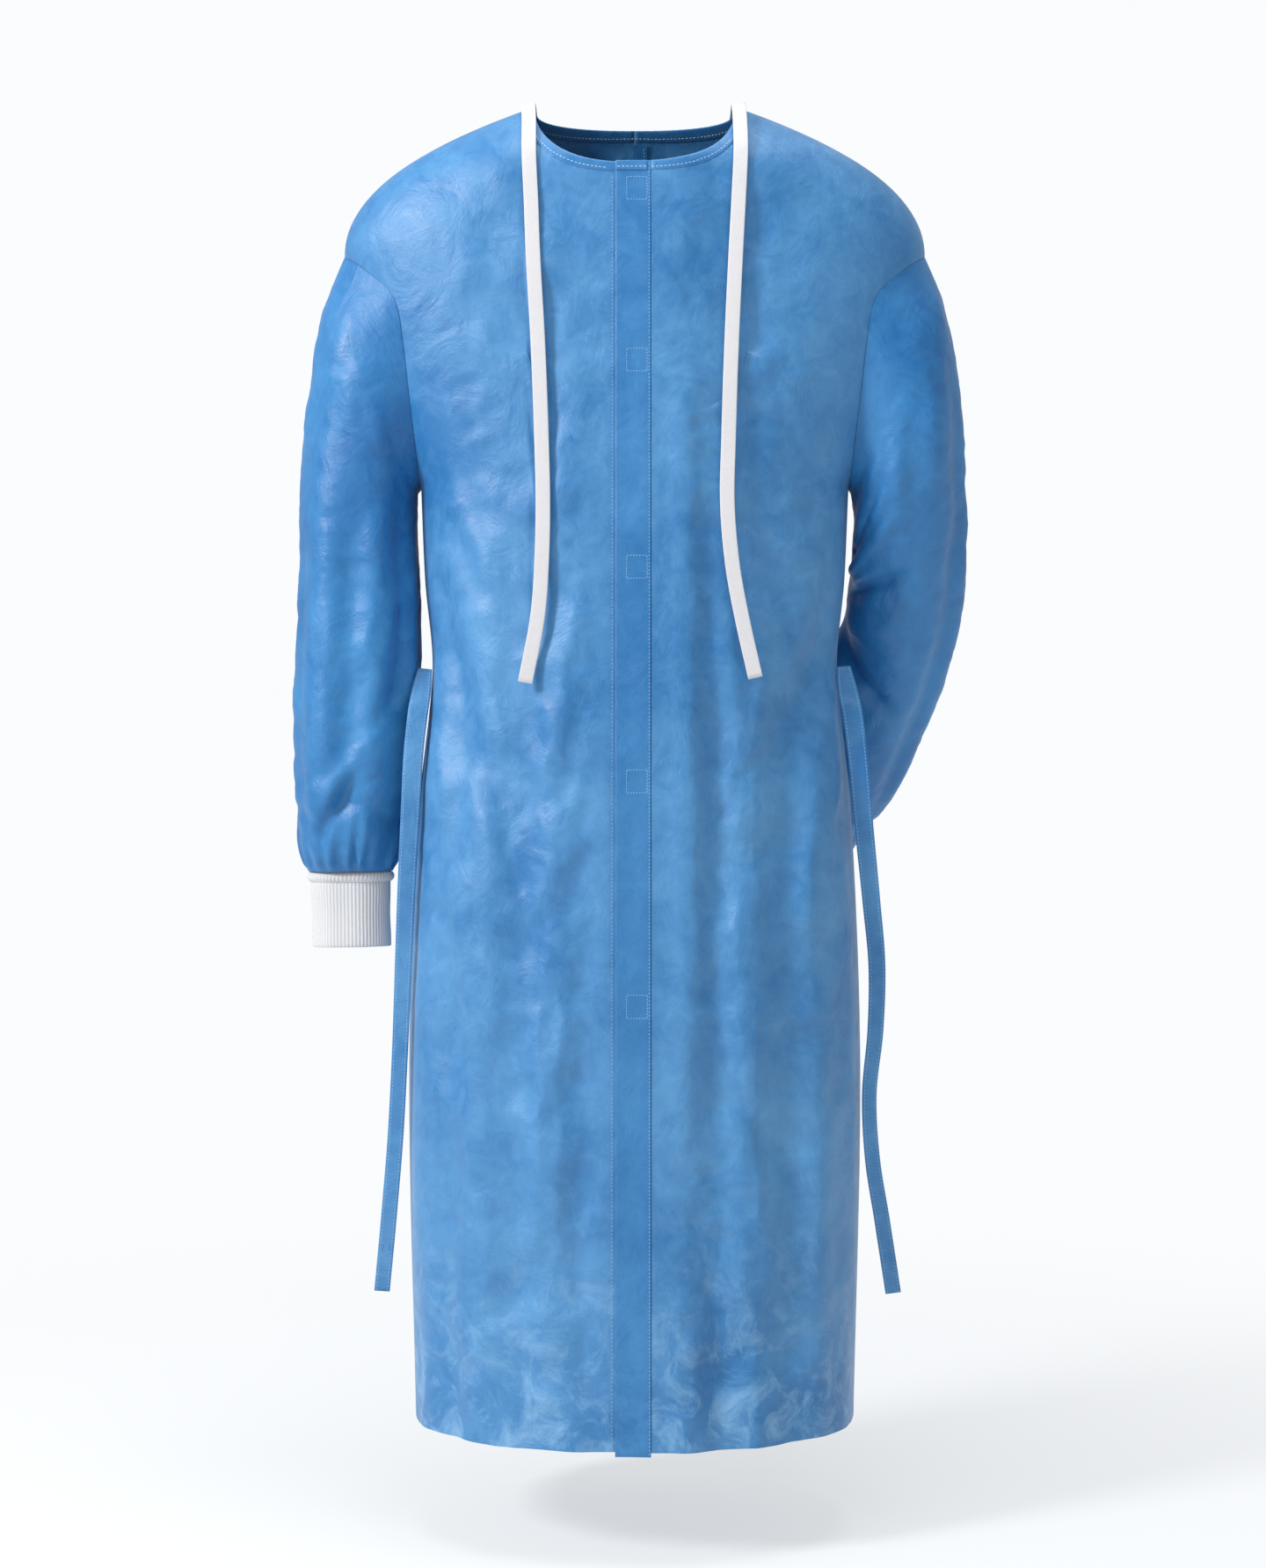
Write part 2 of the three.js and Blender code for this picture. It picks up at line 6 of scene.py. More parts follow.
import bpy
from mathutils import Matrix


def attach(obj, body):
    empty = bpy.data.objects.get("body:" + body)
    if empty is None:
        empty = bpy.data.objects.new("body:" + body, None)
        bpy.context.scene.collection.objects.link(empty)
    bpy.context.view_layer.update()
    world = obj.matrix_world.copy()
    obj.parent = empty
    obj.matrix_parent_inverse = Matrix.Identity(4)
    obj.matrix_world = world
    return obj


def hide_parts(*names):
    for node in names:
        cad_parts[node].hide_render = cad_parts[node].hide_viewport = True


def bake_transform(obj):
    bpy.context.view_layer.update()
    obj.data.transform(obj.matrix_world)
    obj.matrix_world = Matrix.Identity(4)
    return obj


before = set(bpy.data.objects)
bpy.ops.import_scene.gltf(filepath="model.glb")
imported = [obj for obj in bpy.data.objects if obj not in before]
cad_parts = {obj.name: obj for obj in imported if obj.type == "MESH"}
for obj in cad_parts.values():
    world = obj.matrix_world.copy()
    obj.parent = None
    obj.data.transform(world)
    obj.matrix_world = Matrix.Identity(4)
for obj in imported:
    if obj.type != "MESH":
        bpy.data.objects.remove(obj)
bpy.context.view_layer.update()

import math

import bpy
import numpy as np
from mathutils import Vector, noise
from mathutils.bvhtree import BVHTree

bpy.ops.object.select_all(action="DESELECT")

# %% [markdown]
# ## The camera
# A level camera at half the gown's height, about two metres away, keeps the sides of the gown upright.
# A longer lens from further off would flatten the curve of the hem.

# %% Place the camera
camera_data = bpy.data.cameras.new("camera")
camera_data.lens = 57.1
camera_data.sensor_width = 36
camera = bpy.data.objects.new("camera", camera_data)
camera.location = (-0.0015, -2.150, -0.581)
camera.rotation_euler = (math.pi / 2, 0, 0)
bpy.context.scene.collection.objects.link(camera)
bpy.context.scene.camera = camera

# %% [markdown]
# ## Floor and light
# A studio shows pale goods on white: the floor fades into the background, and only a soft shadow tells
# where the gown hangs. A light at the upper left rakes across the cloth, which shapes its folds. A weak
# one, low in front, opens the shadow inside the neck, and one overhead casts the shadow on the floor.

# %% Lay the floor
FLOOR = -1.215
WHITE_BEHIND = (0.955, 0.973, 0.99, 1)
bpy.ops.mesh.primitive_circle_add(vertices=64, radius=14, fill_type="NGON", location=(0, 0, FLOOR))
floor = bpy.context.object
floor.name = "floor"
floor_material = bpy.data.materials.new("pale_floor")
floor_material.use_nodes = True
tree = floor_material.node_tree
tree.nodes.clear()
place = tree.nodes.new("ShaderNodeTexCoord")
flatten = tree.nodes.new("ShaderNodeVectorMath")
flatten.operation = "MULTIPLY"
flatten.inputs[1].default_value = (1, 1, 0)
distance = tree.nodes.new("ShaderNodeVectorMath")
distance.operation = "LENGTH"
fade = tree.nodes.new("ShaderNodeMapRange")
fade.interpolation_type = "SMOOTHSTEP"
fade.inputs["From Min"].default_value = 0.35
fade.inputs["From Max"].default_value = 1.5
fade.inputs["To Min"].default_value = 0.62
lit = tree.nodes.new("ShaderNodeBsdfDiffuse")
lit.inputs["Color"].default_value = (0.93, 0.94, 0.95, 1)
glow = tree.nodes.new("ShaderNodeEmission")
glow.inputs["Color"].default_value = WHITE_BEHIND
joined = tree.nodes.new("ShaderNodeMixShader")
surface = tree.nodes.new("ShaderNodeOutputMaterial")
tree.links.new(place.outputs["Object"], flatten.inputs[0])
tree.links.new(flatten.outputs[0], distance.inputs[0])
tree.links.new(distance.outputs["Value"], fade.inputs["Value"])
tree.links.new(fade.outputs["Result"], joined.inputs["Fac"])
tree.links.new(lit.outputs[0], joined.inputs[1])
tree.links.new(glow.outputs[0], joined.inputs[2])
tree.links.new(joined.outputs[0], surface.inputs["Surface"])
floor.data.materials.append(floor_material)

# %% Hang the lights
scene = bpy.context.scene
scene.view_settings.view_transform = "Standard"
world = bpy.data.worlds.new("studio")
scene.world = world
world.use_nodes = True
tree = world.node_tree
tree.nodes.clear()
seen = tree.nodes.new("ShaderNodeBackground")
seen.inputs["Color"].default_value = WHITE_BEHIND
around = tree.nodes.new("ShaderNodeBackground")
around.inputs["Color"].default_value = (0.93, 0.97, 1, 1)
around.inputs["Strength"].default_value = 0.40
ray = tree.nodes.new("ShaderNodeLightPath")
either = tree.nodes.new("ShaderNodeMixShader")
sky = tree.nodes.new("ShaderNodeOutputWorld")
tree.links.new(ray.outputs["Is Camera Ray"], either.inputs["Fac"])
tree.links.new(around.outputs[0], either.inputs[1])
tree.links.new(seen.outputs[0], either.inputs[2])
tree.links.new(either.outputs[0], sky.inputs["Surface"])


def hang_light(name, location, target, size, watts):
    light_data = bpy.data.lights.new(name, "AREA")
    light_data.shape = "DISK"
    light_data.size = size
    light_data.energy = watts
    light = bpy.data.objects.new(name, light_data)
    light.location = location
    light.rotation_euler = (Vector(target) - Vector(location)).to_track_quat("-Z", "Y").to_euler()
    bpy.context.scene.collection.objects.link(light)


hang_light("key", (-2.75, -1.8, 1.3), (0, 0, -0.4), 0.9, 118)
hang_light("fill", (-0.9, -3.1, -0.7), (0, 0, -0.2), 1.6, 7)
hang_light("overhead", (0.1, -0.5, 1.9), (0, 0, -0.9), 1.4, 34)

# %% [markdown]
# ## The gown's surface
# The body is a stack of rounded oval sections. The same few rows of numbers as in the CAD give the
# width and the depth of the gown at each drop below the shoulders, so that fine cloth lies exactly
# on the CAD panels. Numbers are in metres.

# %% Sizes of the body
GOWN_LENGTH = 1.120
NECK_HALF_WIDTH = 0.085
FRONT_NECK_DROP = 0.066
BACK_NECK_DROP = 0.004
SHOULDER_HALF_WIDTH = 0.250
SHOULDER_DROP = 0.128
ARMPIT_DROP = 0.325
CHEST_HALF_WIDTH = 0.184
WAIST_DROP = 0.485
WAIST_HALF_WIDTH = 0.174
HIP_DROP = 0.825
HIP_HALF_WIDTH = 0.194
HEM_HALF_WIDTH = 0.188
FRONT_DEPTH_NECK = 0.092
FRONT_DEPTH_HEM = 0.144
FULLNESS = 2.3
RIDGE_CURVE = 2.2
NECK_ROUND = 2.6
BINDING_WIDTH = 0.008
STITCH_LINE = 0.0132
UNDERLAP = 0.029
FLAP_WIDTH = 0.029
CLOTH = 0.0006


# %% Smooth curves
def mix(a, b, t):
    return a + (b - a) * t


def ease(t):
    t = np.clip(t, 0, 1)
    return t * t * (3 - 2 * t)


def between(t, span, start, start_slope, end, end_slope):
    """A cubic curve from start to end with the given slopes, at the share t of the span."""
    return (
        (2 * t**3 - 3 * t**2 + 1) * start
        + (t**3 - 2 * t**2 + t) * span * start_slope
        + (3 * t**2 - 2 * t**3) * end
        + (t**3 - t**2) * span * end_slope
    )


def through(rows, place):
    """A smooth curve through (place, value) rows, read at many places at once."""
    rows = np.array(rows, float)
    at, value = rows[:, 0], rows[:, 1]
    last = len(at) - 1
    low = np.maximum(np.arange(last + 1) - 1, 0)
    high = np.minimum(np.arange(last + 1) + 1, last)
    slope = (value[high] - value[low]) / (at[high] - at[low])
    place = np.asarray(place, float)
    i = np.searchsorted(at[1:last], place, side="left")
    span = at[i + 1] - at[i]
    t = np.clip((place - at[i]) / span, 0, 1)
    return between(t, span, value[i], slope[i], value[i + 1], slope[i + 1])


# %% Outline of the body
OVER_ARM = [[0, 1], [0.22, 0.85], [0.39, 0.7], [0.6, 0.485], [0.82, 0.225], [1, 0]]
BELOW_ARM = [
    [ARMPIT_DROP, CHEST_HALF_WIDTH],
    [mix(ARMPIT_DROP, WAIST_DROP, 0.5), mix(CHEST_HALF_WIDTH, WAIST_HALF_WIDTH, 0.35)],
    [WAIST_DROP, WAIST_HALF_WIDTH],
    [mix(WAIST_DROP, HIP_DROP, 0.35), mix(WAIST_HALF_WIDTH, HIP_HALF_WIDTH, 0.6)],
    [HIP_DROP, HIP_HALF_WIDTH],
    [GOWN_LENGTH, HEM_HALF_WIDTH],
]
BACK_DEPTHS = [
    [0, 0.044], [0.020, 0.062], [FRONT_NECK_DROP, 0.084], [SHOULDER_DROP, 0.098],
    [ARMPIT_DROP, 0.112], [WAIST_DROP, 0.104], [HIP_DROP, 0.118], [GOWN_LENGTH, 0.132],
]
ARMHOLE_SHAPE = [[0, 1], [0.1, 0.636], [0.22, 0.288], [0.39, 0.174], [0.6, 0.106], [0.82, 0.038], [1, 0]]


def half_width(drop):
    drop = np.asarray(drop, float)
    left = 1 - np.clip(drop, 0, SHOULDER_DROP) / SHOULDER_DROP
    over = mix(NECK_HALF_WIDTH, SHOULDER_HALF_WIDTH, 1 - left**RIDGE_CURVE)
    share = through(OVER_ARM, (drop - SHOULDER_DROP) / (ARMPIT_DROP - SHOULDER_DROP))
    beside = mix(CHEST_HALF_WIDTH, SHOULDER_HALF_WIDTH, share)
    below = through(BELOW_ARM, drop)
    return np.where(drop < SHOULDER_DROP, over, np.where(drop < ARMPIT_DROP, beside, below))


def depth_at(drop, face):
    drop = np.asarray(drop, float)
    if face > 0:
        return through(BACK_DEPTHS, drop)
    t = (drop - FRONT_NECK_DROP) / (GOWN_LENGTH - FRONT_NECK_DROP)
    above = np.maximum(-t, 0) * (GOWN_LENGTH / FRONT_NECK_DROP - 1)
    over_neck = FRONT_DEPTH_NECK - 0.042 * above**1.6
    return np.where(t < 0, over_neck, mix(FRONT_DEPTH_NECK, FRONT_DEPTH_HEM, t))


# %% Points on the body
def on_body(x, drop, face):
    """Points and normals of the body's surface at x and drop, in front for face -1, behind for 1."""
    x, drop = np.broadcast_arrays(np.asarray(x, float), np.asarray(drop, float))
    share = np.minimum(np.abs(x) / half_width(drop), 1)
    y = face * depth_at(drop, face) * (1 - share**FULLNESS) ** (1 / FULLNESS)

    def outside(dx, dy, dz):
        width = half_width(drop - dz)
        depth = depth_at(drop - dz, face)
        return (np.abs(x + dx) / width) ** FULLNESS + (np.abs(y + dy) / depth) ** FULLNESS

    step = 0.0005
    normal = np.stack(
        [
            outside(step, 0, 0) - outside(-step, 0, 0),
            np.where(share > 0.9999, 0, outside(0, step, 0) - outside(0, -step, 0)),
            outside(0, 0, step) - outside(0, 0, -step),
        ],
        -1,
    )
    normal /= np.linalg.norm(normal, axis=-1, keepdims=True)
    return np.stack([x, y, -drop], -1), normal


# %% Neckline and armhole
def shoulder_drop(x):
    out = (x - NECK_HALF_WIDTH) / (SHOULDER_HALF_WIDTH - NECK_HALF_WIDTH)
    return SHOULDER_DROP * (1 - (1 - out) ** (1 / RIDGE_CURVE))


def neckline(t, grow, face, edge):
    """Places along a neckline widened by grow, from the centre edge at t = 0 to the shoulder at 1."""
    across = NECK_HALF_WIDTH + grow
    deep = grow + (FRONT_NECK_DROP if face < 0 else BACK_NECK_DROP)
    turn = mix(math.pi / 2, math.asin(edge / across), (1 - t) ** 1.5)
    share = np.sin(turn)
    curve = (1 - np.abs(share) ** NECK_ROUND).clip(0) ** (1 / NECK_ROUND)
    return across * share, deep * curve + shoulder_drop(across) * share


def armhole(t):
    """Places down an armhole seam, as x and drop, from the shoulder at t = 0 to the armpit at 1."""
    down = (1 - np.cos(math.pi * t)) / 2
    return (
        mix(CHEST_HALF_WIDTH, SHOULDER_HALF_WIDTH, through(ARMHOLE_SHAPE, down)),
        mix(SHOULDER_DROP, ARMPIT_DROP, down),
    )


print("half width at the waist", float(half_width(WAIST_DROP)))

# %% [markdown]
# ## Finishes
# Spunbond nonwoven is made of fine fibres pressed together: it has cloudy light and dark patches, a
# faint sheen and a grain of tiny pressed dots. All of that comes from noise in the object's own
# coordinates, so that the cloth looks the same from every side.


# %% A helper for materials
def start_material(name, roughness):
    material = bpy.data.materials.new(name)
    material.use_nodes = True
    nodes = material.node_tree.nodes
    shader = nodes["Principled BSDF"]
    shader.inputs["Roughness"].default_value = roughness
    return material, nodes, material.node_tree.links, shader


def add_noise(nodes, links, vector, scale, detail=4, roughness=0.55, distortion=0.0):
    node = nodes.new("ShaderNodeTexNoise")
    node.inputs["Scale"].default_value = scale
    node.inputs["Detail"].default_value = detail
    node.inputs["Roughness"].default_value = roughness
    node.inputs["Distortion"].default_value = distortion
    links.new(vector, node.inputs["Vector"])
    return node.outputs["Fac"]


def spread_out(nodes, links, value, low, high, to_low=0.0, to_high=1.0):
    node = nodes.new("ShaderNodeMapRange")
    node.inputs["From Min"].default_value = low
    node.inputs["From Max"].default_value = high
    node.inputs["To Min"].default_value = to_low
    node.inputs["To Max"].default_value = to_high
    links.new(value, node.inputs["Value"])
    return node.outputs["Result"]


# %% Mix and colour values
def combine(nodes, links, kind, a, b):
    node = nodes.new("ShaderNodeMath")
    node.operation = kind
    for socket, value in zip(node.inputs, (a, b)):
        if isinstance(value, (int, float)):
            socket.default_value = value
        else:
            links.new(value, socket)
    return node.outputs[0]


def tint(nodes, links, factor, dark, light):
    node = nodes.new("ShaderNodeMix")
    node.data_type = "RGBA"
    links.new(factor, node.inputs["Factor"])
    for socket, colour in ((node.inputs["A"], dark), (node.inputs["B"], light)):
        if isinstance(colour, tuple):
            socket.default_value = (*colour, 1)
        else:
            links.new(colour, socket)
    return node.outputs["Result"]


def add_bump(nodes, links, shader, height, distance, strength=1.0, after=None):
    node = nodes.new("ShaderNodeBump")
    node.inputs["Distance"].default_value = distance
    node.inputs["Strength"].default_value = strength
    links.new(height, node.inputs["Height"])
    if after:
        links.new(after, node.inputs["Normal"])
    links.new(node.outputs["Normal"], shader.inputs["Normal"])
    return node.outputs["Normal"]


# %% Nonwoven cloth
def nonwoven(name, dark, light, painted_sheen):
    material, nodes, links, shader = start_material(name, 0.58)
    vector = nodes.new("ShaderNodeTexCoord").outputs["Object"]
    clouds = add_noise(nodes, links, vector, 7, 5, 0.6, 0.4)
    patches = add_noise(nodes, links, vector, 46, 6, 0.65, 0.8)
    fibres = add_noise(nodes, links, vector, 900, 3, 0.6, 1.5)
    mottle = combine(nodes, links, "MULTIPLY_ADD", patches, 0.55)
    mottle.node.inputs[2].default_value = 0.0
    links.new(clouds, mottle.node.inputs[2])
    shade = spread_out(nodes, links, mottle, 0.55, 1.0)
    colour = tint(nodes, links, shade, dark, light)
    # Painted sheen near the hem: towards the hem, noise patches blend the single layer's colour into a
    # whitish one that stands in for light caught by its fibres.
    z = nodes.new("ShaderNodeSeparateXYZ")
    links.new(vector, z.inputs[0])
    low = spread_out(nodes, links, z.outputs["Z"], -0.90, -1.10)
    sheen_patches = spread_out(nodes, links, add_noise(nodes, links, vector, 30, 8, 0.7, 1.0), 0.48, 0.72)
    colour = tint(nodes, links, combine(nodes, links, "MULTIPLY", low, sheen_patches), colour, painted_sheen)
    grain = spread_out(nodes, links, fibres, 0.3, 0.7, 0.93, 1.06)
    scaled = nodes.new("ShaderNodeVectorMath")
    scaled.operation = "SCALE"
    links.new(colour, scaled.inputs[0])
    links.new(grain, scaled.inputs["Scale"])
    links.new(scaled.outputs[0], shader.inputs["Base Color"])
    links.new(spread_out(nodes, links, patches, 0.3, 0.7, 0.36, 0.56), shader.inputs["Roughness"])
    shader.inputs["Sheen Weight"].default_value = 0.10
    shader.inputs["Sheen Roughness"].default_value = 0.45
    shader.inputs["Specular IOR Level"].default_value = 0.5
    dots = nodes.new("ShaderNodeTexVoronoi")
    dots.inputs["Scale"].default_value = 820
    links.new(vector, dots.inputs["Vector"])
    pressed = add_bump(nodes, links, shader, dots.outputs["Distance"], 0.00012, 0.5)
    crumple = add_noise(nodes, links, vector, 85, 5, 0.6, 0.6)
    soft = add_bump(nodes, links, shader, crumple, 0.0012, 0.35, pressed)
    wrinkle = add_noise(nodes, links, vector, 22, 6, 0.55, 1.2)
    soft = add_bump(nodes, links, shader, wrinkle, 0.0045, 0.45, soft)
    add_bump(nodes, links, shader, fibres, 0.0002, 0.5, soft)
    return material


CLOTH_DARK = (0.016, 0.150, 0.385)
CLOTH_LIGHT = (0.084, 0.278, 0.540)
# The last colour given to each cloth below is painted sheen, blended in noisy patches near the hem.
HEM_PAINTED_SHEEN = (0.20, 0.41, 0.65)
gown_cloth = nonwoven("gown_cloth", CLOTH_DARK, CLOTH_LIGHT, HEM_PAINTED_SHEEN)
sleeve_cloth = nonwoven("sleeve_cloth", (0.005, 0.122, 0.350), (0.032, 0.212, 0.480), HEM_PAINTED_SHEEN)
flap_cloth = nonwoven("flap_cloth", (0.010, 0.135, 0.365), (0.040, 0.212, 0.470), (0.05, 0.23, 0.50))


# %% [markdown]
# Woven tape and ribbed knit have a repeating thread pattern, so they follow a UV map that runs along
# the piece: U goes across it and V along it, both in millimetres.


# %% Tape, knit, thread and fastener finishes
def stripes(nodes, links, vector, direction, scale, distortion=0.0):
    node = nodes.new("ShaderNodeTexWave")
    node.bands_direction = direction
    node.inputs["Scale"].default_value = scale
    node.inputs["Distortion"].default_value = distortion
    node.inputs["Detail"].default_value = 2
    node.inputs["Detail Scale"].default_value = 2
    links.new(vector, node.inputs["Vector"])
    return node.outputs["Fac"]


def threaded(name, dark, light, across, along, direction, height, roughness=0.85):
    material, nodes, links, shader = start_material(name, roughness)
    coordinates = nodes.new("ShaderNodeTexCoord")
    weft = stripes(nodes, links, coordinates.outputs["UV"], "X", across, 0.3)
    warp = stripes(nodes, links, coordinates.outputs["UV"], direction, along, 0.4)
    crossing = combine(nodes, links, "MULTIPLY", weft, warp)
    fuzz = add_noise(nodes, links, coordinates.outputs["Object"], 1400, 3)
    shade = combine(nodes, links, "MULTIPLY_ADD", crossing, 0.6)
    shade.node.inputs[2].default_value = 0.0
    links.new(spread_out(nodes, links, fuzz, 0.2, 0.8, 0, 0.4), shade.node.inputs[2])
    links.new(tint(nodes, links, shade, dark, light), shader.inputs["Base Color"])
    shader.inputs["Sheen Weight"].default_value = 0.15
    shader.inputs["Specular IOR Level"].default_value = 0.3
    woven = add_bump(nodes, links, shader, crossing, height, 0.8)
    add_bump(nodes, links, shader, fuzz, 0.0001, 0.4, woven)
    return material


neck_tape = threaded("neck_tape", (0.60, 0.59, 0.61), (0.86, 0.85, 0.87), 0.45, 0.35, "DIAGONAL", 0.0003)
rib_knit = threaded("rib_knit", (0.56, 0.565, 0.58), (0.79, 0.79, 0.80), 0.01, 0.32, "Y", 0.0002, 0.9)


def plain_fibre(name, dark, light, scale, height, roughness):
    material, nodes, links, shader = start_material(name, roughness)
    vector = nodes.new("ShaderNodeTexCoord").outputs["Object"]
    grain = add_noise(nodes, links, vector, scale, 3, 0.6, 0.5)
    links.new(tint(nodes, links, grain, dark, light), shader.inputs["Base Color"])
    shader.inputs["Sheen Weight"].default_value = 0.2
    add_bump(nodes, links, shader, grain, height, 0.7)
    return material


white_thread = plain_fibre("white_thread", (0.62, 0.68, 0.76), (0.80, 0.84, 0.90), 2500, 0.0001, 0.7)
blue_thread = plain_fibre("blue_thread", (0.24, 0.46, 0.72), (0.36, 0.58, 0.80), 2500, 0.0001, 0.7)
hook_tape = plain_fibre("hook_tape", (0.05, 0.19, 0.42), (0.10, 0.29, 0.56), 1500, 0.0006, 0.6)
loop_tape = plain_fibre("loop_tape", (0.07, 0.22, 0.47), (0.13, 0.34, 0.62), 700, 0.0008, 0.95)
print("materials", len(bpy.data.materials))


# %% [markdown]
# ## Cloth from rows of points
# A sheet of cloth is easiest as a grid: rows of points, joined by quads, with a Solidify modifier for
# its real thickness. The grid keeps seams exactly where they are drawn, which a sculpted blob would not.


# %% Grids and tubes
def cloth_mesh(name, points, material, tube=False, uv=None):
    """A mesh from rows of points, facing along rows x columns. A tube's last column joins its first."""
    rows, columns = points.shape[:2]
    faces = []
    for i in range(rows - 1):
        for j in range(columns if tube else columns - 1):
            k = (j + 1) % columns
            faces.append((i * columns + j, (i + 1) * columns + j, (i + 1) * columns + k, i * columns + k))
    mesh = bpy.data.meshes.new(name)
    mesh.from_pydata(points.reshape(-1, 3).tolist(), [], faces)
    if uv is not None:
        layer = mesh.uv_layers.new(name="UVMap")
        index = np.zeros(len(mesh.loops), int)
        mesh.loops.foreach_get("vertex_index", index)
        layer.data.foreach_set("uv", uv.reshape(-1, 2)[index].ravel())
    piece = bpy.data.objects.new(name, mesh)
    bpy.context.scene.collection.objects.link(piece)
    mesh.materials.append(material)
    mesh.shade_smooth()
    return piece


# %% Place, select and thicken
def place_on(body, slot, piece, *nodes):
    """Makes a piece ride on a body and stand for its CAD nodes. slot is not used."""
    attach(piece, body)
    if nodes:
        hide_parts(*nodes)


def select_only(piece):
    bpy.ops.object.select_all(action="DESELECT")
    piece.select_set(True)
    bpy.context.view_layer.objects.active = piece


def thicken(piece, thickness, offset=0.0, rim_round=0.0):
    select_only(piece)
    wall = piece.modifiers.new("wall", "SOLIDIFY")
    wall.thickness = thickness
    wall.offset = offset
    bpy.ops.object.modifier_apply(modifier=wall.name)
    if rim_round:
        bevel = piece.modifiers.new("rim", "BEVEL")
        bevel.width = rim_round
        bevel.limit_method = "ANGLE"
        bpy.ops.object.modifier_apply(modifier=bevel.name)
    bpy.ops.object.shade_smooth_by_angle(angle=math.radians(50))
    return piece


# %% Normals, bumps and lengths
def grid_normals(points, tube=False):
    """Unit normals of a grid, on the side that its faces face."""
    down = np.gradient(points, axis=0)
    if tube:
        wrapped = np.concatenate([points[:, -1:], points, points[:, :1]], 1)
        across = (wrapped[:, 2:] - wrapped[:, :-2]) / 2
    else:
        across = np.gradient(points, axis=1)
    normal = np.cross(down, across)
    return normal / np.maximum(np.linalg.norm(normal, axis=-1, keepdims=True), 1e-12)


def bumps(points, size, seed, octaves=4):
    """Smooth noise of about -1 to 1 at each point, with features of the given size."""
    flat = points.reshape(-1, 3) / size
    shift = Vector((seed * 7.3, seed * 3.1, seed * 5.7))
    values = [noise.fractal(Vector(p) + shift, 1.0, 2.0, octaves) for p in flat.tolist()]
    return np.array(values).reshape(points.shape[:-1])


def length_of(path):
    return float(np.linalg.norm(np.diff(np.array(path), axis=0), axis=1).sum())


# %% [markdown]
# ## Ties
# The neck ties are flat white tapes sewn to the back of the neckline. They lie over the shoulders and
# hang down the chest. The waist ties are folded strips of the gown's own cloth. A tape is a thin
# section swept along the same points as the CAD tie, with its width kept level.


# %% Ties as cords
def spline_points(route, count):
    """Points evenly along a smooth curve through the route."""
    route = np.array(route, float)
    chord = np.concatenate([[0], np.cumsum(np.linalg.norm(np.diff(route, axis=0), axis=1))])
    dense = np.linspace(0, chord[-1], 600)
    fine = np.stack([through(np.c_[chord, route[:, k]], dense) for k in range(3)], -1)
    run = np.concatenate([[0], np.cumsum(np.linalg.norm(np.diff(fine, axis=0), axis=1))])
    even = np.linspace(0, run[-1], count)
    return np.stack([np.interp(even, run, fine[:, k]) for k in range(3)], -1)


# %% Sweep a tape along its path
TAPE_CORNERS = [
    (1, 0.3), (0.96, 0.85), (0.86, 1), (0.4, 1), (0, 1), (-0.4, 1), (-0.86, 1), (-0.96, 0.85), (-1, 0.3),
]
PATH_STEP = 6


def make_tie(name, route, width, thickness, material, node, widths=None, twist=None):
    middle = spline_points(route, 150)
    ahead = np.gradient(middle, axis=0)
    ahead /= np.linalg.norm(ahead, axis=1, keepdims=True)
    side = np.array([1.0, 0, 0]) - ahead * ahead[:, :1]
    side /= np.linalg.norm(side, axis=1, keepdims=True)
    up = np.cross(side, ahead)
    share = np.linspace(0, 1, len(middle))
    if twist is not None:
        angle = through(twist, share)[:, None]
        turned = side * np.cos(angle) + up * np.sin(angle)
        side, up = turned, up * np.cos(angle) - side * np.sin(angle)
    half = (through(widths, share) if widths else np.full(len(middle), 1.0)) * width / 2
    section = np.array(TAPE_CORNERS + [(-x, -y) for x, y in TAPE_CORNERS])
    points = (
        middle[:, None]
        + side[:, None] * (section[None, :, :1] * half[:, None, None])
        + up[:, None] * (section[None, :, 1:] * thickness / 2)
    )
    run = np.concatenate([[0], np.cumsum(np.linalg.norm(np.diff(middle, axis=0), axis=1))])
    uv = np.stack(
        np.broadcast_arrays(section[None, :, 0] * width * 500 + 50, run[:, None] * 1000), -1
    )
    tie = cloth_mesh(name, points, material, tube=True, uv=uv)
    close_ends(tie, len(section))
    path = middle[::PATH_STEP].tolist()
    if len(middle) % PATH_STEP != 1:
        path.append(middle[-1].tolist())
    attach(tie, "gown")
    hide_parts(node)
    print(name, "length", round(length_of(path), 3))
    return tie, middle, side, up, half


# %% Close the ends of a tube
def close_ends(piece, columns):
    """Caps the two open ends of a tube and turns its faces outwards."""
    select_only(piece)
    bpy.ops.object.mode_set(mode="EDIT")
    bpy.ops.mesh.select_all(action="DESELECT")
    bpy.ops.mesh.select_non_manifold()
    bpy.ops.mesh.fill()
    bpy.ops.mesh.select_all(action="SELECT")
    bpy.ops.mesh.normals_make_consistent(inside=False)
    bpy.ops.mesh.select_all(action="DESELECT")
    bpy.ops.object.mode_set(mode="OBJECT")


def metres(route):
    return [[value / 1000 for value in point] for point in route]


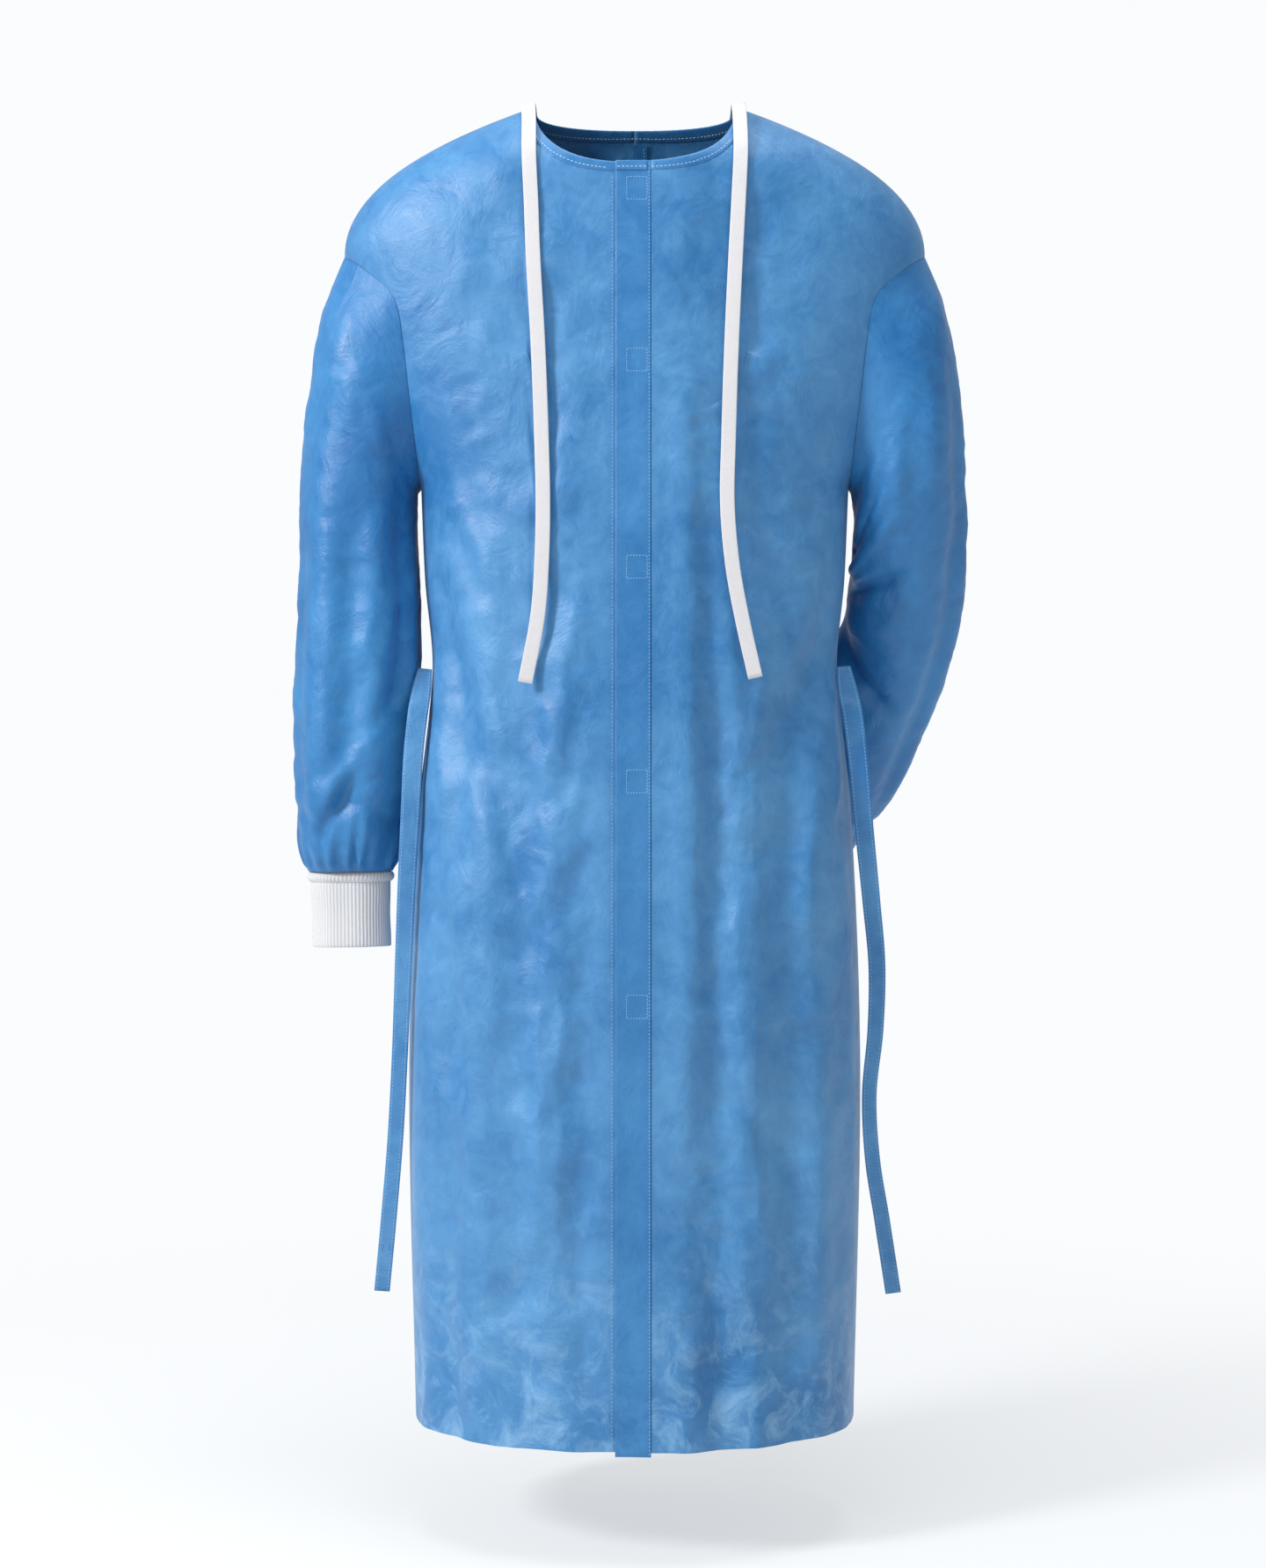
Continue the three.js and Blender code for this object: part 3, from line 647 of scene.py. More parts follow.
# %% Routes of the ties
RIGHT_NECK_TIE = metres([
    [-90.5, 33, -3.9], [-91, 18, 0.8], [-91, 0, 2.6], [-91, -20, 0.9], [-90.5, -38.5, -4],
    [-89.5, -54.5, -13],
    [-88.5, -72, -28], [-88, -86.4, -49], [-87.5, -90.6, -66], [-86, -93.4, -95], [-84, -97.2, -145],
    [-80, -100.8, -215], [-77, -104.4, -290], [-75.5, -107.2, -350], [-76.5, -109.4, -400],
    [-80, -110.7, -445],
    [-90, -111.2, -498],
])
LEFT_NECK_TIE = metres([
    [88, 33, -3.3], [89, 18, 1.1], [89, 0, 2.6], [88.5, -20, 0.9], [88, -39, -3.8], [88, -55, -13],
    [88, -72.4, -28], [88, -86.6, -49], [87.5, -90.8, -66], [86, -93.6, -95], [83, -97.6, -150],
    [79.5, -101.7, -225], [77, -105.2, -300], [76, -107.7, -350], [80, -109.4, -400], [88, -110.2, -445],
    [99, -110.7, -494],
])
RIGHT_WAIST_TIE = metres([
    [-179, -28.6, -483], [-180, -32.4, -491], [-181.5, -37.3, -503], [-183.5, -45, -520], [-187, -49, -555],
    [-190, -49, -610], [-193, -49, -670], [-196, -47, -740], [-199, -44, -810], [-203, -41, -880],
    [-209, -38, -950], [-215, -35, -1012],
])
LEFT_WAIST_TIE = metres([
    [178, -31.9, -481], [179, -35.1, -490], [181, -39.3, -503], [184.5, -46, -523], [189, -50, -565],
    [194, -49, -620], [200, -48, -680], [205, -45, -735], [204, -42, -790], [199, -40, -845],
    [202, -38, -900], [210, -36, -950], [220, -34, -1014],
])

# %% Make the ties
NECK_TIE_WIDTH = 0.012
WAIST_TIE_WIDTH = 0.015
NECK_TIE_THICKNESS = 0.0011
WAIST_TIE_THICKNESS = 0.0016
neck_sizes = (NECK_TIE_WIDTH, NECK_TIE_THICKNESS, neck_tape)
make_tie("right_neck_tape", RIGHT_NECK_TIE, *neck_sizes, "right_neck_tie")
make_tie("left_neck_tape", LEFT_NECK_TIE, *neck_sizes, "left_neck_tie")
waist_sizes = (WAIST_TIE_WIDTH, WAIST_TIE_THICKNESS, gown_cloth)
waist_widths = [[0, 0.8], [0.04, 1.1], [0.12, 1.12], [0.3, 1.04], [0.6, 0.92], [1, 0.88]]
right_waist = make_tie(
    "right_waist_strip", RIGHT_WAIST_TIE, *waist_sizes, "right_waist_tie", waist_widths,
    [[0, 0.0], [0.3, 0.12], [0.6, -0.1], [1, 0.1]],
)
left_waist = make_tie(
    "left_waist_strip", LEFT_WAIST_TIE, *waist_sizes, "left_waist_tie", waist_widths,
    [[0, 0.0], [0.3, -0.15], [0.55, 0.1], [0.7, 0.35], [1, -0.1]],
)

# %% [markdown]
# ## The body's panels
# Each panel is one sheet of cloth that hangs from the shoulders. Cloth simulation gives the small,
# uneven buckles. The long soft folds and the packing creases come from known causes, the wearer's
# shape and the way the gown was folded, so they are drawn first as gentle ridges and hollows.

# %% Layers of the front closure
# Heights above the right panel's middle surface, from the loop tabs out to the flap.
FLAP_LIFT = 0.0045
LEFT_EDGE_LIFT = 0.0041
LAP_FADE = 0.045


def left_lift(x):
    return LEFT_EDGE_LIFT * (1 - ease((x - UNDERLAP) / LAP_FADE))


# %% Grid of one panel
NECK_COLUMNS = 40
RIDGE_COLUMNS = 34
ARM_ROWS = 34
SIDE_ROWS = 190
NECK_SHARE = 0.5
SEAM = 0.0005


def panel_grid(side, face, edge, lift=None):
    columns = NECK_COLUMNS + RIDGE_COLUMNS
    j = np.arange(columns + 1)
    ridge = np.maximum(j - NECK_COLUMNS, 0) / RIDGE_COLUMNS
    spread = np.where(
        j <= NECK_COLUMNS, j / NECK_COLUMNS * NECK_SHARE, mix(NECK_SHARE, 1, np.sin(math.pi / 2 * ridge))
    )
    grow = BINDING_WIDTH - 0.001
    neck_x, neck_drop = neckline(np.minimum(j / NECK_COLUMNS, 1), grow, face, edge)
    ridge_drop = mix(shoulder_drop(NECK_HALF_WIDTH + grow), SHOULDER_DROP, ridge**1.6)
    on_neck = j <= NECK_COLUMNS
    top_x = np.where(on_neck, neck_x, half_width(ridge_drop))
    top_drop = np.where(on_neck, neck_drop, ridge_drop)
    hem_half = float(half_width(GOWN_LENGTH))
    bottom_x = mix(edge, hem_half, spread)
    arm_x, arm_drop = armhole(np.arange(ARM_ROWS) / ARM_ROWS)
    side_drop = mix(ARMPIT_DROP, GOWN_LENGTH, np.linspace(0, 1, SIDE_ROWS + 1))
    outer_x = np.concatenate([arm_x, half_width(side_drop)])
    outer_drop = np.concatenate([arm_drop, side_drop])
    down = ((outer_drop - SHOULDER_DROP) / (GOWN_LENGTH - SHOULDER_DROP))[:, None]
    drawn = outer_x[:, None] - mix(SHOULDER_HALF_WIDTH, hem_half, down)
    x = mix(top_x[None], bottom_x[None], down) + ease(ridge)[None] * drawn
    drop = mix(top_drop[None], GOWN_LENGTH, down)
    points, normals = on_body(side * x, drop, face)
    near_seam = np.abs(points[..., 1]) < SEAM
    points[..., 1] = np.where(near_seam, face * SEAM, points[..., 1])
    if lift is not None:
        points = points + normals * lift(x)[..., None]
    return points, normals, x, drop, spread


# %% Ridges and hollows
def ridge_line(x, drop, start, end, width, height, bow=0.0):
    """A soft fold from start to end, each (x, drop), that fades at both ends."""
    (x0, d0), (x1, d1) = start, end
    length = math.hypot(x1 - x0, d1 - d0)
    along = ((x - x0) * (x1 - x0) + (drop - d0) * (d1 - d0)) / length**2
    off = ((x - x0) * (d1 - d0) - (drop - d0) * (x1 - x0)) / length
    off = off - bow * 4 * along * (1 - along)
    fade = ease(along / 0.25) * ease((1 - along) / 0.25)
    return height * np.exp(-((off / width) ** 2)) * fade


# %% Folds of the body
MM = 0.001
FOLD_DEPTH = 2.0
FRONT_FOLDS = {
    -1: [
        ((58, 150), (72, 1200), 20, 2.4, 8), ((88, 210), (104, 1220), 18, -2.4, -6),
        ((120, 330), (132, 1230), 17, 2.8, 5), ((150, 420), (156, 1200), 13, -2.2, 0),
        ((176, 350), (92, 640), 12, -2.6, 12), ((180, 390), (112, 800), 13, 2.4, 14),
        ((165, 300), (108, 420), 10, 1.6, 4), ((34, 560), (40, 1210), 16, -1.5, 4),
        ((150, 505), (60, 590), 9, 0.9, -4), ((160, 520), (84, 700), 9, -1.1, -6),
    ],
    1: [
        ((36, 180), (40, 900), 15, 2.4, 4), ((62, 260), (66, 1180), 15, -2.3, 4),
        ((92, 300), (96, 1220), 17, 2.3, -5), ((124, 380), (128, 1200), 15, -2.3, 4),
        ((152, 470), (150, 1190), 13, 2.2, 0), ((176, 350), (104, 600), 12, -2.6, 12),
        ((180, 400), (124, 760), 12, 2.4, 12), ((150, 505), (64, 620), 9, -1.1, -6),
        ((70, 820), (160, 960), 10, -1.2, 6), ((40, 640), (120, 600), 8, 0.7, 3),
    ],
}
BACK_FOLDS = {
    -1: [
        ((40, 150), (46, 1200), 22, -2.6, 6), ((84, 220), (92, 1220), 18, 3.0, -6),
        ((124, 300), (132, 1200), 16, -2.8, 4), ((176, 350), (100, 700), 13, 2.6, 12),
        ((150, 500), (60, 620), 10, -1.2, 6),
    ],
    1: [
        ((36, 130), (50, 1200), 20, 2.8, 6), ((78, 220), (86, 1220), 18, -2.8, -6),
        ((120, 300), (126, 1200), 16, 2.8, 4), ((176, 350), (104, 660), 13, -2.6, 12),
        ((150, 500), (70, 600), 10, 1.2, 6),
    ],
}


# %% Creases and crumples
# Where the gown was folded in its pack: each place in metres, and the crease's height in millimetres.
CREASES_ACROSS = ((0.242, 0.35), (0.505, -0.4), (0.770, 0.7), (0.899, -0.6))
CREASE_DOWN = (0.098, 0.4)
HIGHEST_FOLD = 0.0036
DEEPEST_FOLD = -0.0075
TIE_X = 0.083  # the folds lie low under the neck ties


def shape_folds(points, normals, x, drop, spread, side, face, edge):
    """Moves a panel's points along their normals by its folds, creases and crumples."""
    table = FRONT_FOLDS if face < 0 else BACK_FOLDS
    rise = np.zeros_like(x)
    for (x0, d0), (x1, d1), width, height, bow in table[side]:
        start, end = (x0 * MM, d0 * MM), (x1 * MM, d1 * MM)
        rise += ridge_line(x, drop, start, end, width * MM, height * MM, bow * MM)
    for crease, height in CREASES_ACROSS:
        wander = 0.0015 * np.sin(x * 60 + crease * 40) + 0.001 * np.sin(x * 170)
        rise += height * MM * np.exp(-np.abs((drop - crease - wander) / 0.0035) ** 1.3)
    crease, height = CREASE_DOWN
    rise += height * MM * np.exp(-np.abs((x - crease) / 0.003) ** 1.3) * ease((drop - 0.3) / 0.2)
    rise += 0.0011 * bumps(points, 0.060, 1 + side + face)
    rise += 0.0006 * bumps(points, 0.022, 5 + side + face, 3)
    hem_wave = np.sin(x / 0.020 + side * 0.8 + face) * 0.5 + np.sin(x / 0.011 + 2 * face)
    rise += 0.0011 * hem_wave * ease((drop - 0.93) / 0.2)
    centre_fade = ease((x - max(edge, 0.016)) / 0.03) if face < 0 else ease(x / 0.012)
    under_tie = 1.0
    if face < 0:
        beside_tie = np.exp(-(((x - TIE_X) / 0.018) ** 2))
        under_tie = 1 - 0.75 * beside_tie * (1 - ease((drop - 0.50) / 0.04))
    side_fade = 1 - ease((spread[None] - 0.90) / 0.1)
    arm_fade = np.where(drop < ARMPIT_DROP + 0.02, 1 - ease((spread[None] - 0.75) / 0.2), 1)
    top_fade = ease((drop - drop[:1]) / 0.04)
    inside = np.clip(rise * FOLD_DEPTH, DEEPEST_FOLD, HIGHEST_FOLD)
    moved = inside * centre_fade * side_fade * arm_fade * top_fade * under_tie
    return points + normals * moved[..., None]


# %% [markdown]
# Nonwoven cloth barely stretches, but it buckles wherever there is a little too much of it. In the
# simulation each panel has between one and two per cent of spare cloth, its seams are pinned, and
# gravity pulls on it for a few frames. The moves are smoothed, because this cloth is too stiff for
# small wrinkles, and kept to a few millimetres, so that the seams still meet.

# %% Let the cloth settle
SETTLE_FRAMES = 14
SPARE_CLOTH = 0.016
SOFTEN = 5
SETTLE_CAP = 0.0035


def settle(piece, hold):
    """Runs a short cloth simulation on a grid piece. hold is how firmly each vertex stays, 0 to 1."""
    select_only(piece)
    before = np.zeros(len(piece.data.vertices) * 3)
    piece.data.vertices.foreach_get("co", before)
    group = piece.vertex_groups.new(name="held")
    levels = np.round(np.clip(hold, 0, 1).ravel() * 20).astype(int)
    for level in np.unique(levels):
        group.add(np.nonzero(levels == level)[0].tolist(), level / 20, "REPLACE")
    cloth = piece.modifiers.new("settle", "CLOTH")
    settings = cloth.settings
    settings.quality = 4
    settings.mass = 0.05
    settings.tension_stiffness = 40
    settings.compression_stiffness = 40
    settings.shear_stiffness = 20
    settings.bending_stiffness = 2.5
    settings.tension_damping = 15
    settings.compression_damping = 15
    settings.air_damping = 3
    settings.vertex_group_mass = group.name
    settings.pin_stiffness = 3
    settings.shrink_min = -SPARE_CLOTH
    settings.effector_weights.gravity = 0.4
    cloth.collision_settings.use_collision = False
    cloth.collision_settings.use_self_collision = False
    scene = bpy.context.scene
    cloth.point_cache.frame_start = 1
    cloth.point_cache.frame_end = SETTLE_FRAMES + 1
    for frame_number in range(1, SETTLE_FRAMES + 1):
        scene.frame_set(frame_number)
    bpy.ops.object.modifier_apply(modifier=cloth.name)
    scene.frame_set(1)
    after = np.zeros_like(before)
    piece.data.vertices.foreach_get("co", after)
    move = (after - before).reshape(-1, 3)
    grid = move.reshape(*hold.shape, 3)
    for _ in range(SOFTEN):
        grid[1:-1] = (grid[:-2] + 2 * grid[1:-1] + grid[2:]) / 4
        grid[:, 1:-1] = (grid[:, :-2] + 2 * grid[:, 1:-1] + grid[:, 2:]) / 4
    far = np.linalg.norm(move, axis=1, keepdims=True)
    move *= SETTLE_CAP * np.tanh(far / SETTLE_CAP) / np.maximum(far, 1e-9)
    move *= (1 - np.clip(hold, 0, 1).reshape(-1, 1)) ** 0.5
    piece.data.vertices.foreach_set("co", (before.reshape(-1, 3) + move).ravel())
    piece.data.update()
    piece.vertex_groups.clear()
    print(piece.name, "settled by up to", round(float(np.abs(move).max()) * 1000, 1), "mm")


# %% Make the four panels
def make_panel(name, node, side, face, edge, lift=None):
    points, normals, x, drop, spread = panel_grid(side, face, edge, lift)
    shaped = shape_folds(points, normals, x, drop, spread, side, face, edge)
    if side * face > 0:
        shaped = shaped[:, ::-1]
        x, drop, spread = x[:, ::-1], drop[:, ::-1], spread[::-1]
    piece = cloth_mesh(name, shaped, gown_cloth)
    inner = edge if face > 0 else max(edge, 0) + 0.016
    from_centre = 1 - ease((x - inner) / 0.035)
    from_side = ease((spread[None] - 0.86) / 0.14)
    from_arm = np.where(drop < ARMPIT_DROP + 0.03, ease((spread[None] - 0.6) / 0.3), 0)
    from_top = 1 - ease((drop - drop.min(0)) / 0.07)
    from_hem = 0.25 * ease((drop - 1.06) / 0.06)
    holds = np.broadcast_arrays(from_centre, from_side, from_arm, from_top, from_hem)
    hold = np.maximum.reduce(holds)
    settle(piece, hold)
    area = sum(p.area for p in piece.data.polygons)
    thicken(piece, CLOTH)
    place_on("gown", "nonwoven", piece, node)
    print(name, "area", round(area, 3), "faces", len(piece.data.polygons))
    return piece


BACK_EDGE = 0.00003
right_front = make_panel("right_front_cloth", "right_front_panel", -1, -1, -UNDERLAP)
left_front = make_panel("left_front_cloth", "left_front_panel", 1, -1, STITCH_LINE, left_lift)
right_back = make_panel("right_back_cloth", "right_back_panel", -1, 1, BACK_EDGE)
left_back = make_panel("left_back_cloth", "left_back_panel", 1, 1, BACK_EDGE)

# %% [markdown]
# ## The front closure
# The flap is a double strip that folds over its stitched edge and covers the fasteners. It sags a
# little between them, where nothing holds it. The facing is a second layer behind the right edge.

# %% Flap and facing
TAB_DROPS = (0.079, 0.222, 0.393, 0.569, 0.752)
TAB_HEIGHT = 0.020
TAB_X = 0.0017
TAB_WIDTH = 0.018
FLAP_EDGE = STITCH_LINE - 0.00015
FLAP_LONGER = 0.003


def flap_height(x, drop):
    """How far the flap stands in front of the front edge's line."""
    free = (FLAP_EDGE - x) / FLAP_WIDTH
    centres = np.array(TAB_DROPS) + TAB_HEIGHT / 2
    nearest = np.abs(drop[..., None] - centres).min(-1)
    between = ease((nearest - 0.015) / 0.035)
    sag = 0.0012 * between * ease(free * 1.4)
    wave = 0.0005 * np.sin(drop * 41 + 1) + 0.0004 * np.sin(drop * 87)
    dimple = 0.0005 * np.exp(-((nearest / 0.014) ** 2)) * np.exp(-(((x - TAB_X) / 0.010) ** 2))
    return FLAP_LIFT - sag + wave * between * ease(free) - dimple


def front_strip(x, drop, height):
    y = -depth_at(drop, -1) - height
    return np.stack(np.broadcast_arrays(x, y, -drop), -1)


rows, columns = 260, 18
x = np.linspace(FLAP_EDGE - FLAP_WIDTH, FLAP_EDGE, columns + 1)[None]
drop = np.linspace(FRONT_NECK_DROP, GOWN_LENGTH + FLAP_LONGER, rows + 1)[:, None]
x, drop = np.broadcast_arrays(x, drop)
flap = cloth_mesh("front_flap_cloth", front_strip(x, drop, flap_height(x, drop)), flap_cloth)
thicken(flap, 0.0009, rim_round=0.0002)
place_on("front_flap", "nonwoven", flap, "placket_flap", "flap_facing")

rows, columns = 120, 14
x = np.linspace(UNDERLAP - 0.050, UNDERLAP - 0.0005, columns + 1)[None]
drop = np.linspace(FRONT_NECK_DROP + 0.009, GOWN_LENGTH - 0.001, rows + 1)[:, None]
points, normals = on_body(*np.broadcast_arrays(x, drop), -1)
facing = cloth_mesh("underlap_facing_cloth", points - normals * 0.0013, flap_cloth)
thicken(facing, 0.0005)
place_on("gown", "nonwoven", facing, "underlap_facing")

# %% [markdown]
# The fasteners are squares of hook tape and loop tape. Their CAD solids already have the right shape,
# so each keeps it and takes a fibrous finish.

# %% Fastener squares
for k in range(1, 6):
    for kind, finish in (("hook", hook_tape), ("loop", loop_tape)):
        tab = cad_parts[f"{kind}_tab_{k}"]
        tab.data.materials.clear()
        tab.data.materials.append(finish)

# %% [markdown]
# ## Neck binding
# The neckline is edged with a folded strip, stitched through. Its fold makes a rounded edge, so the
# strip is a flat closed tube that follows the neckline.

# %% Bindings
BINDING_SECTION = [
    (0.0, 0.25), (0.05, 0.8), (0.2, 1.0), (0.5, 0.96), (0.8, 0.9), (0.97, 0.7), (1.0, 0.3),
    (1.0, -0.3), (0.97, -0.7), (0.8, -0.9), (0.5, -0.96), (0.2, -1.0), (0.05, -0.8), (0.0, -0.25),
]


def make_binding(name, node, side, face, edge, lift=None, t_start=0.0):
    t = np.linspace(t_start, 1, 56)
    ring = []
    for grow, height in BINDING_SECTION:
        x, drop = neckline(t, grow * BINDING_WIDTH, face, edge)
        points, normals = on_body(side * x, drop, face)
        near = np.abs(points[..., 1]) < 0.0002
        points[..., 1] = np.where(near, face * 0.0002, points[..., 1])
        pucker = 0.00012 * np.sin(t * 150 + grow * 2)
        rise = height * 0.0008 + pucker
        if lift is not None:
            rise = rise + lift(x)
        ring.append(points + normals * np.reshape(rise, (-1, 1)))
    points = np.stack(ring, 1)
    binding = cloth_mesh(name, points, flap_cloth, tube=True)
    close_ends(binding, len(ring))
    place_on("gown", "nonwoven", binding, node)
    return binding


right_edge = make_binding("right_neck_edge", "right_neck_binding", -1, -1, -UNDERLAP)
left_edge = make_binding("left_neck_edge", "left_neck_binding", 1, -1, STITCH_LINE, left_lift)
right_back_edge = make_binding("right_back_neck_edge", "right_back_neck_binding", -1, 1, BACK_EDGE)
left_back_edge = make_binding("left_back_neck_edge", "left_back_neck_binding", 1, 1, BACK_EDGE)
rows, columns = 8, 16
x = np.linspace(FLAP_EDGE - FLAP_WIDTH, FLAP_EDGE - 0.0025, columns + 1)[None]
drop = np.linspace(FRONT_NECK_DROP, FRONT_NECK_DROP + BINDING_WIDTH, rows + 1)[:, None]
x, drop = np.broadcast_arrays(x, drop)
flap_edge = cloth_mesh("flap_neck_edge", front_strip(x, drop, flap_height(x, drop) + 0.00095), flap_cloth)
thicken(flap_edge, 0.0006, rim_round=0.0002)
place_on("front_flap", "nonwoven", flap_edge, "flap_neck_binding")

# %% [markdown]
# The centre back seam leaves an allowance inside, pressed to one side. It shows through the neckline as
# a narrow second layer, so it gets a strip of its own.

# %% Seam allowance at the centre back
rows, columns = 150, 6
x = np.linspace(-0.001, 0.0112, columns + 1)[None]
drop = np.linspace(BACK_NECK_DROP + 0.0095, GOWN_LENGTH - 0.002, rows + 1)[:, None]
points, normals = on_body(*np.broadcast_arrays(x, drop), 1)
allowance = cloth_mesh("back_seam_allowance", (points - normals * 0.0011)[:, ::-1], flap_cloth)
thicken(allowance, 0.0005)
place_on("gown", "nonwoven", allowance)

# %% [markdown]
# ## Sleeves
# A sleeve is one piece of cloth from the dropped armhole seam to the wrist. Rings at the same stations
# as in the CAD give its shape, and a smooth curve through them makes many rings between. One sleeve
# hangs. The other is bent behind the back, with folds that meet in the crook of the elbow.

# %% Rings along the arms
INNER = CHEST_HALF_WIDTH + 0.004
AROUND = 112
CUFF_HALF_WIDTH = 0.033
CUFF_HALF_DEPTH = 0.017


def station(outer_x, outer_drop, inner_x, inner_drop, y, depth):
    outer = np.array([outer_x, y, -outer_drop])
    inner = np.array([inner_x, y, -inner_drop])
    width = outer - inner
    size = np.linalg.norm(width)
    along = np.cross([0, 1, 0], width)
    return dict(
        centre=(outer + inner) / 2, wide=width / size, deep=np.array([0, 1.0, 0]),
        half_width=size / 2, half_depth=depth, along=along / np.linalg.norm(along),
    )


def mm_stations(rows):
    return [station(*(value / 1000 for value in row)) for row in rows]


INNER_MM = INNER * 1000
UPPER_ARM = [
    [266, 166, INNER_MM, 332, 0, 61],
    [276, 212, INNER_MM + 2, 344, 0, 58],
    [284, 266, INNER_MM + 2, 360, 0, 55],
]
HANGING_ARM = mm_stations(UPPER_ARM + [
    [288, 325, INNER_MM, 384, -2, 53], [290, 392, INNER_MM - 2, 425, -4, 51],
    [293, 458, INNER_MM - 4, 472, -7, 49], [295, 520, INNER_MM - 3, 522, -9, 48],
    [295, 570, INNER_MM + 1, 570, -11, 46], [291, 614, INNER_MM + 8, 612, -12, 42],
    [286, 640, INNER_MM + 14, 638, -12, 35], [280, 656, INNER_MM + 20, 655, -12, 24],
])
FOREARM = np.array([-0.32, 0.475, -0.82])
FOREARM /= np.linalg.norm(FOREARM)
ELBOW = np.array([0.232, 0.058, -0.451])


def forearm_ring(distance, half_width_mm, half_depth_mm):
    wide = np.array([1, 0, -0.45])
    wide = wide - FOREARM * wide.dot(FOREARM)
    wide /= np.linalg.norm(wide)
    return dict(
        centre=ELBOW + FOREARM * distance / 1000, wide=wide, deep=-np.cross(FOREARM, wide),
        half_width=half_width_mm / 1000, half_depth=half_depth_mm / 1000, along=FOREARM,
    )


BENT_ARM = mm_stations(UPPER_ARM + [
    [288, 320, INNER_MM + 1, 376, 14, 53], [288, 372, INNER_MM + 1, 394, 27, 52],
    [285, 424, INNER_MM, 412, 42, 51],
]) + [
    forearm_ring(0, 49, 49), forearm_ring(52, 52, 48), forearm_ring(100, 52, 46), forearm_ring(142, 50, 43),
    forearm_ring(182, 46, 38), forearm_ring(212, 40, 30), forearm_ring(226, 36, 22),
]


# %% From rings to a grid
def ring_points(ring, count):
    turn = 2 * math.pi * np.arange(count)[:, None] / count
    wide = ring["wide"] * ring["half_width"] * np.cos(turn)
    return ring["centre"] + wide - ring["deep"] * ring["half_depth"] * np.sin(turn)


def armhole_ring(count):
    k = np.arange(count)
    t = np.minimum(k, count - k) / (count / 2)
    x, drop = armhole(t)
    front, front_normal = on_body(x, drop, -1)
    back, back_normal = on_body(x, drop, 1)
    before = (k <= count // 2)[:, None]
    points = np.where(before, front, back)
    return points + np.where(before, front_normal, back_normal) * 0.0006


def sleeve_grid(side, rings, rows):
    """Evenly spaced rings from the armhole to the wrist, and each ring's distance down the arm."""
    known = np.stack([armhole_ring(AROUND)] + [ring_points(r, AROUND) for r in rings])
    chord = np.linalg.norm(np.diff(known, axis=0), axis=-1).mean(1)
    run = np.concatenate([[0], np.cumsum(chord)])
    wanted = np.linspace(0, run[-1], rows)
    i = np.clip(np.searchsorted(run[1:-1], wanted, side="left"), 0, len(run) - 2)
    low = np.maximum(np.arange(len(run)) - 1, 0)
    high = np.minimum(np.arange(len(run)) + 1, len(run) - 1)
    slope = (known[high] - known[low]) / (run[high] - run[low])[:, None, None]
    span = (run[i + 1] - run[i])[:, None, None]
    t = ((wanted - run[i]) / (run[i + 1] - run[i]))[:, None, None]
    points = between(t, span, known[i], slope[i], known[i + 1], slope[i + 1])
    return points * [side, 1, 1], wanted


# %% [markdown]
# Folds on a sleeve are written by angle and by distance down the arm. Angle 0 is the outer side, a
# quarter turn is the front, and a half turn is the side next to the body.


# %% Folds, gathers and creases of the sleeves
def sleeve_fold(angle, run, start, end, width, height, girth=0.30):
    """A fold from start to end, each (share of a turn, distance), with its width in metres."""
    (a0, s0), (a1, s1) = start, end
    x0, x1 = a0 * girth, a1 * girth
    length = math.hypot(x1 - x0, s1 - s0)
    rise = 0
    for shift in (-1, 0, 1):
        x = (angle + shift) * girth
        along = ((x - x0) * (x1 - x0) + (run - s0) * (s1 - s0)) / length**2
        off = ((x - x0) * (s1 - s0) - (run - s0) * (x1 - x0)) / length
        rise = rise + np.exp(-((off / width) ** 2)) * ease(along / 0.3) * ease((1 - along) / 0.3)
    return rise * height


# %% Folds of the two sleeves
HANGING_FOLDS = [
    ((0.16, 0.06), (0.17, 0.50), 0.015, 0.0036), ((0.24, 0.10), (0.25, 0.47), 0.012, -0.0034),
    ((0.32, 0.05), (0.31, 0.50), 0.013, 0.0032), ((0.40, 0.02), (0.37, 0.36), 0.011, -0.0040),
    ((0.08, 0.14), (0.09, 0.46), 0.013, -0.0026), ((0.44, 0.16), (0.22, 0.28), 0.010, 0.0026),
    ((0.46, 0.22), (0.24, 0.36), 0.009, -0.0028), ((0.16, 0.40), (0.34, 0.30), 0.008, 0.0030),
    ((0.12, 0.44), (0.30, 0.34), 0.008, -0.0028), ((0.03, 0.38), (0.20, 0.45), 0.009, 0.0022),
    ((0.62, 0.05), (0.60, 0.46), 0.014, 0.0034), ((0.72, 0.08), (0.71, 0.48), 0.013, -0.0034),
    ((0.82, 0.06), (0.84, 0.48), 0.014, 0.0034), ((0.92, 0.12), (0.93, 0.44), 0.013, -0.0028),
    ((0.50, 0.10), (0.50, 0.42), 0.010, -0.0030),
]
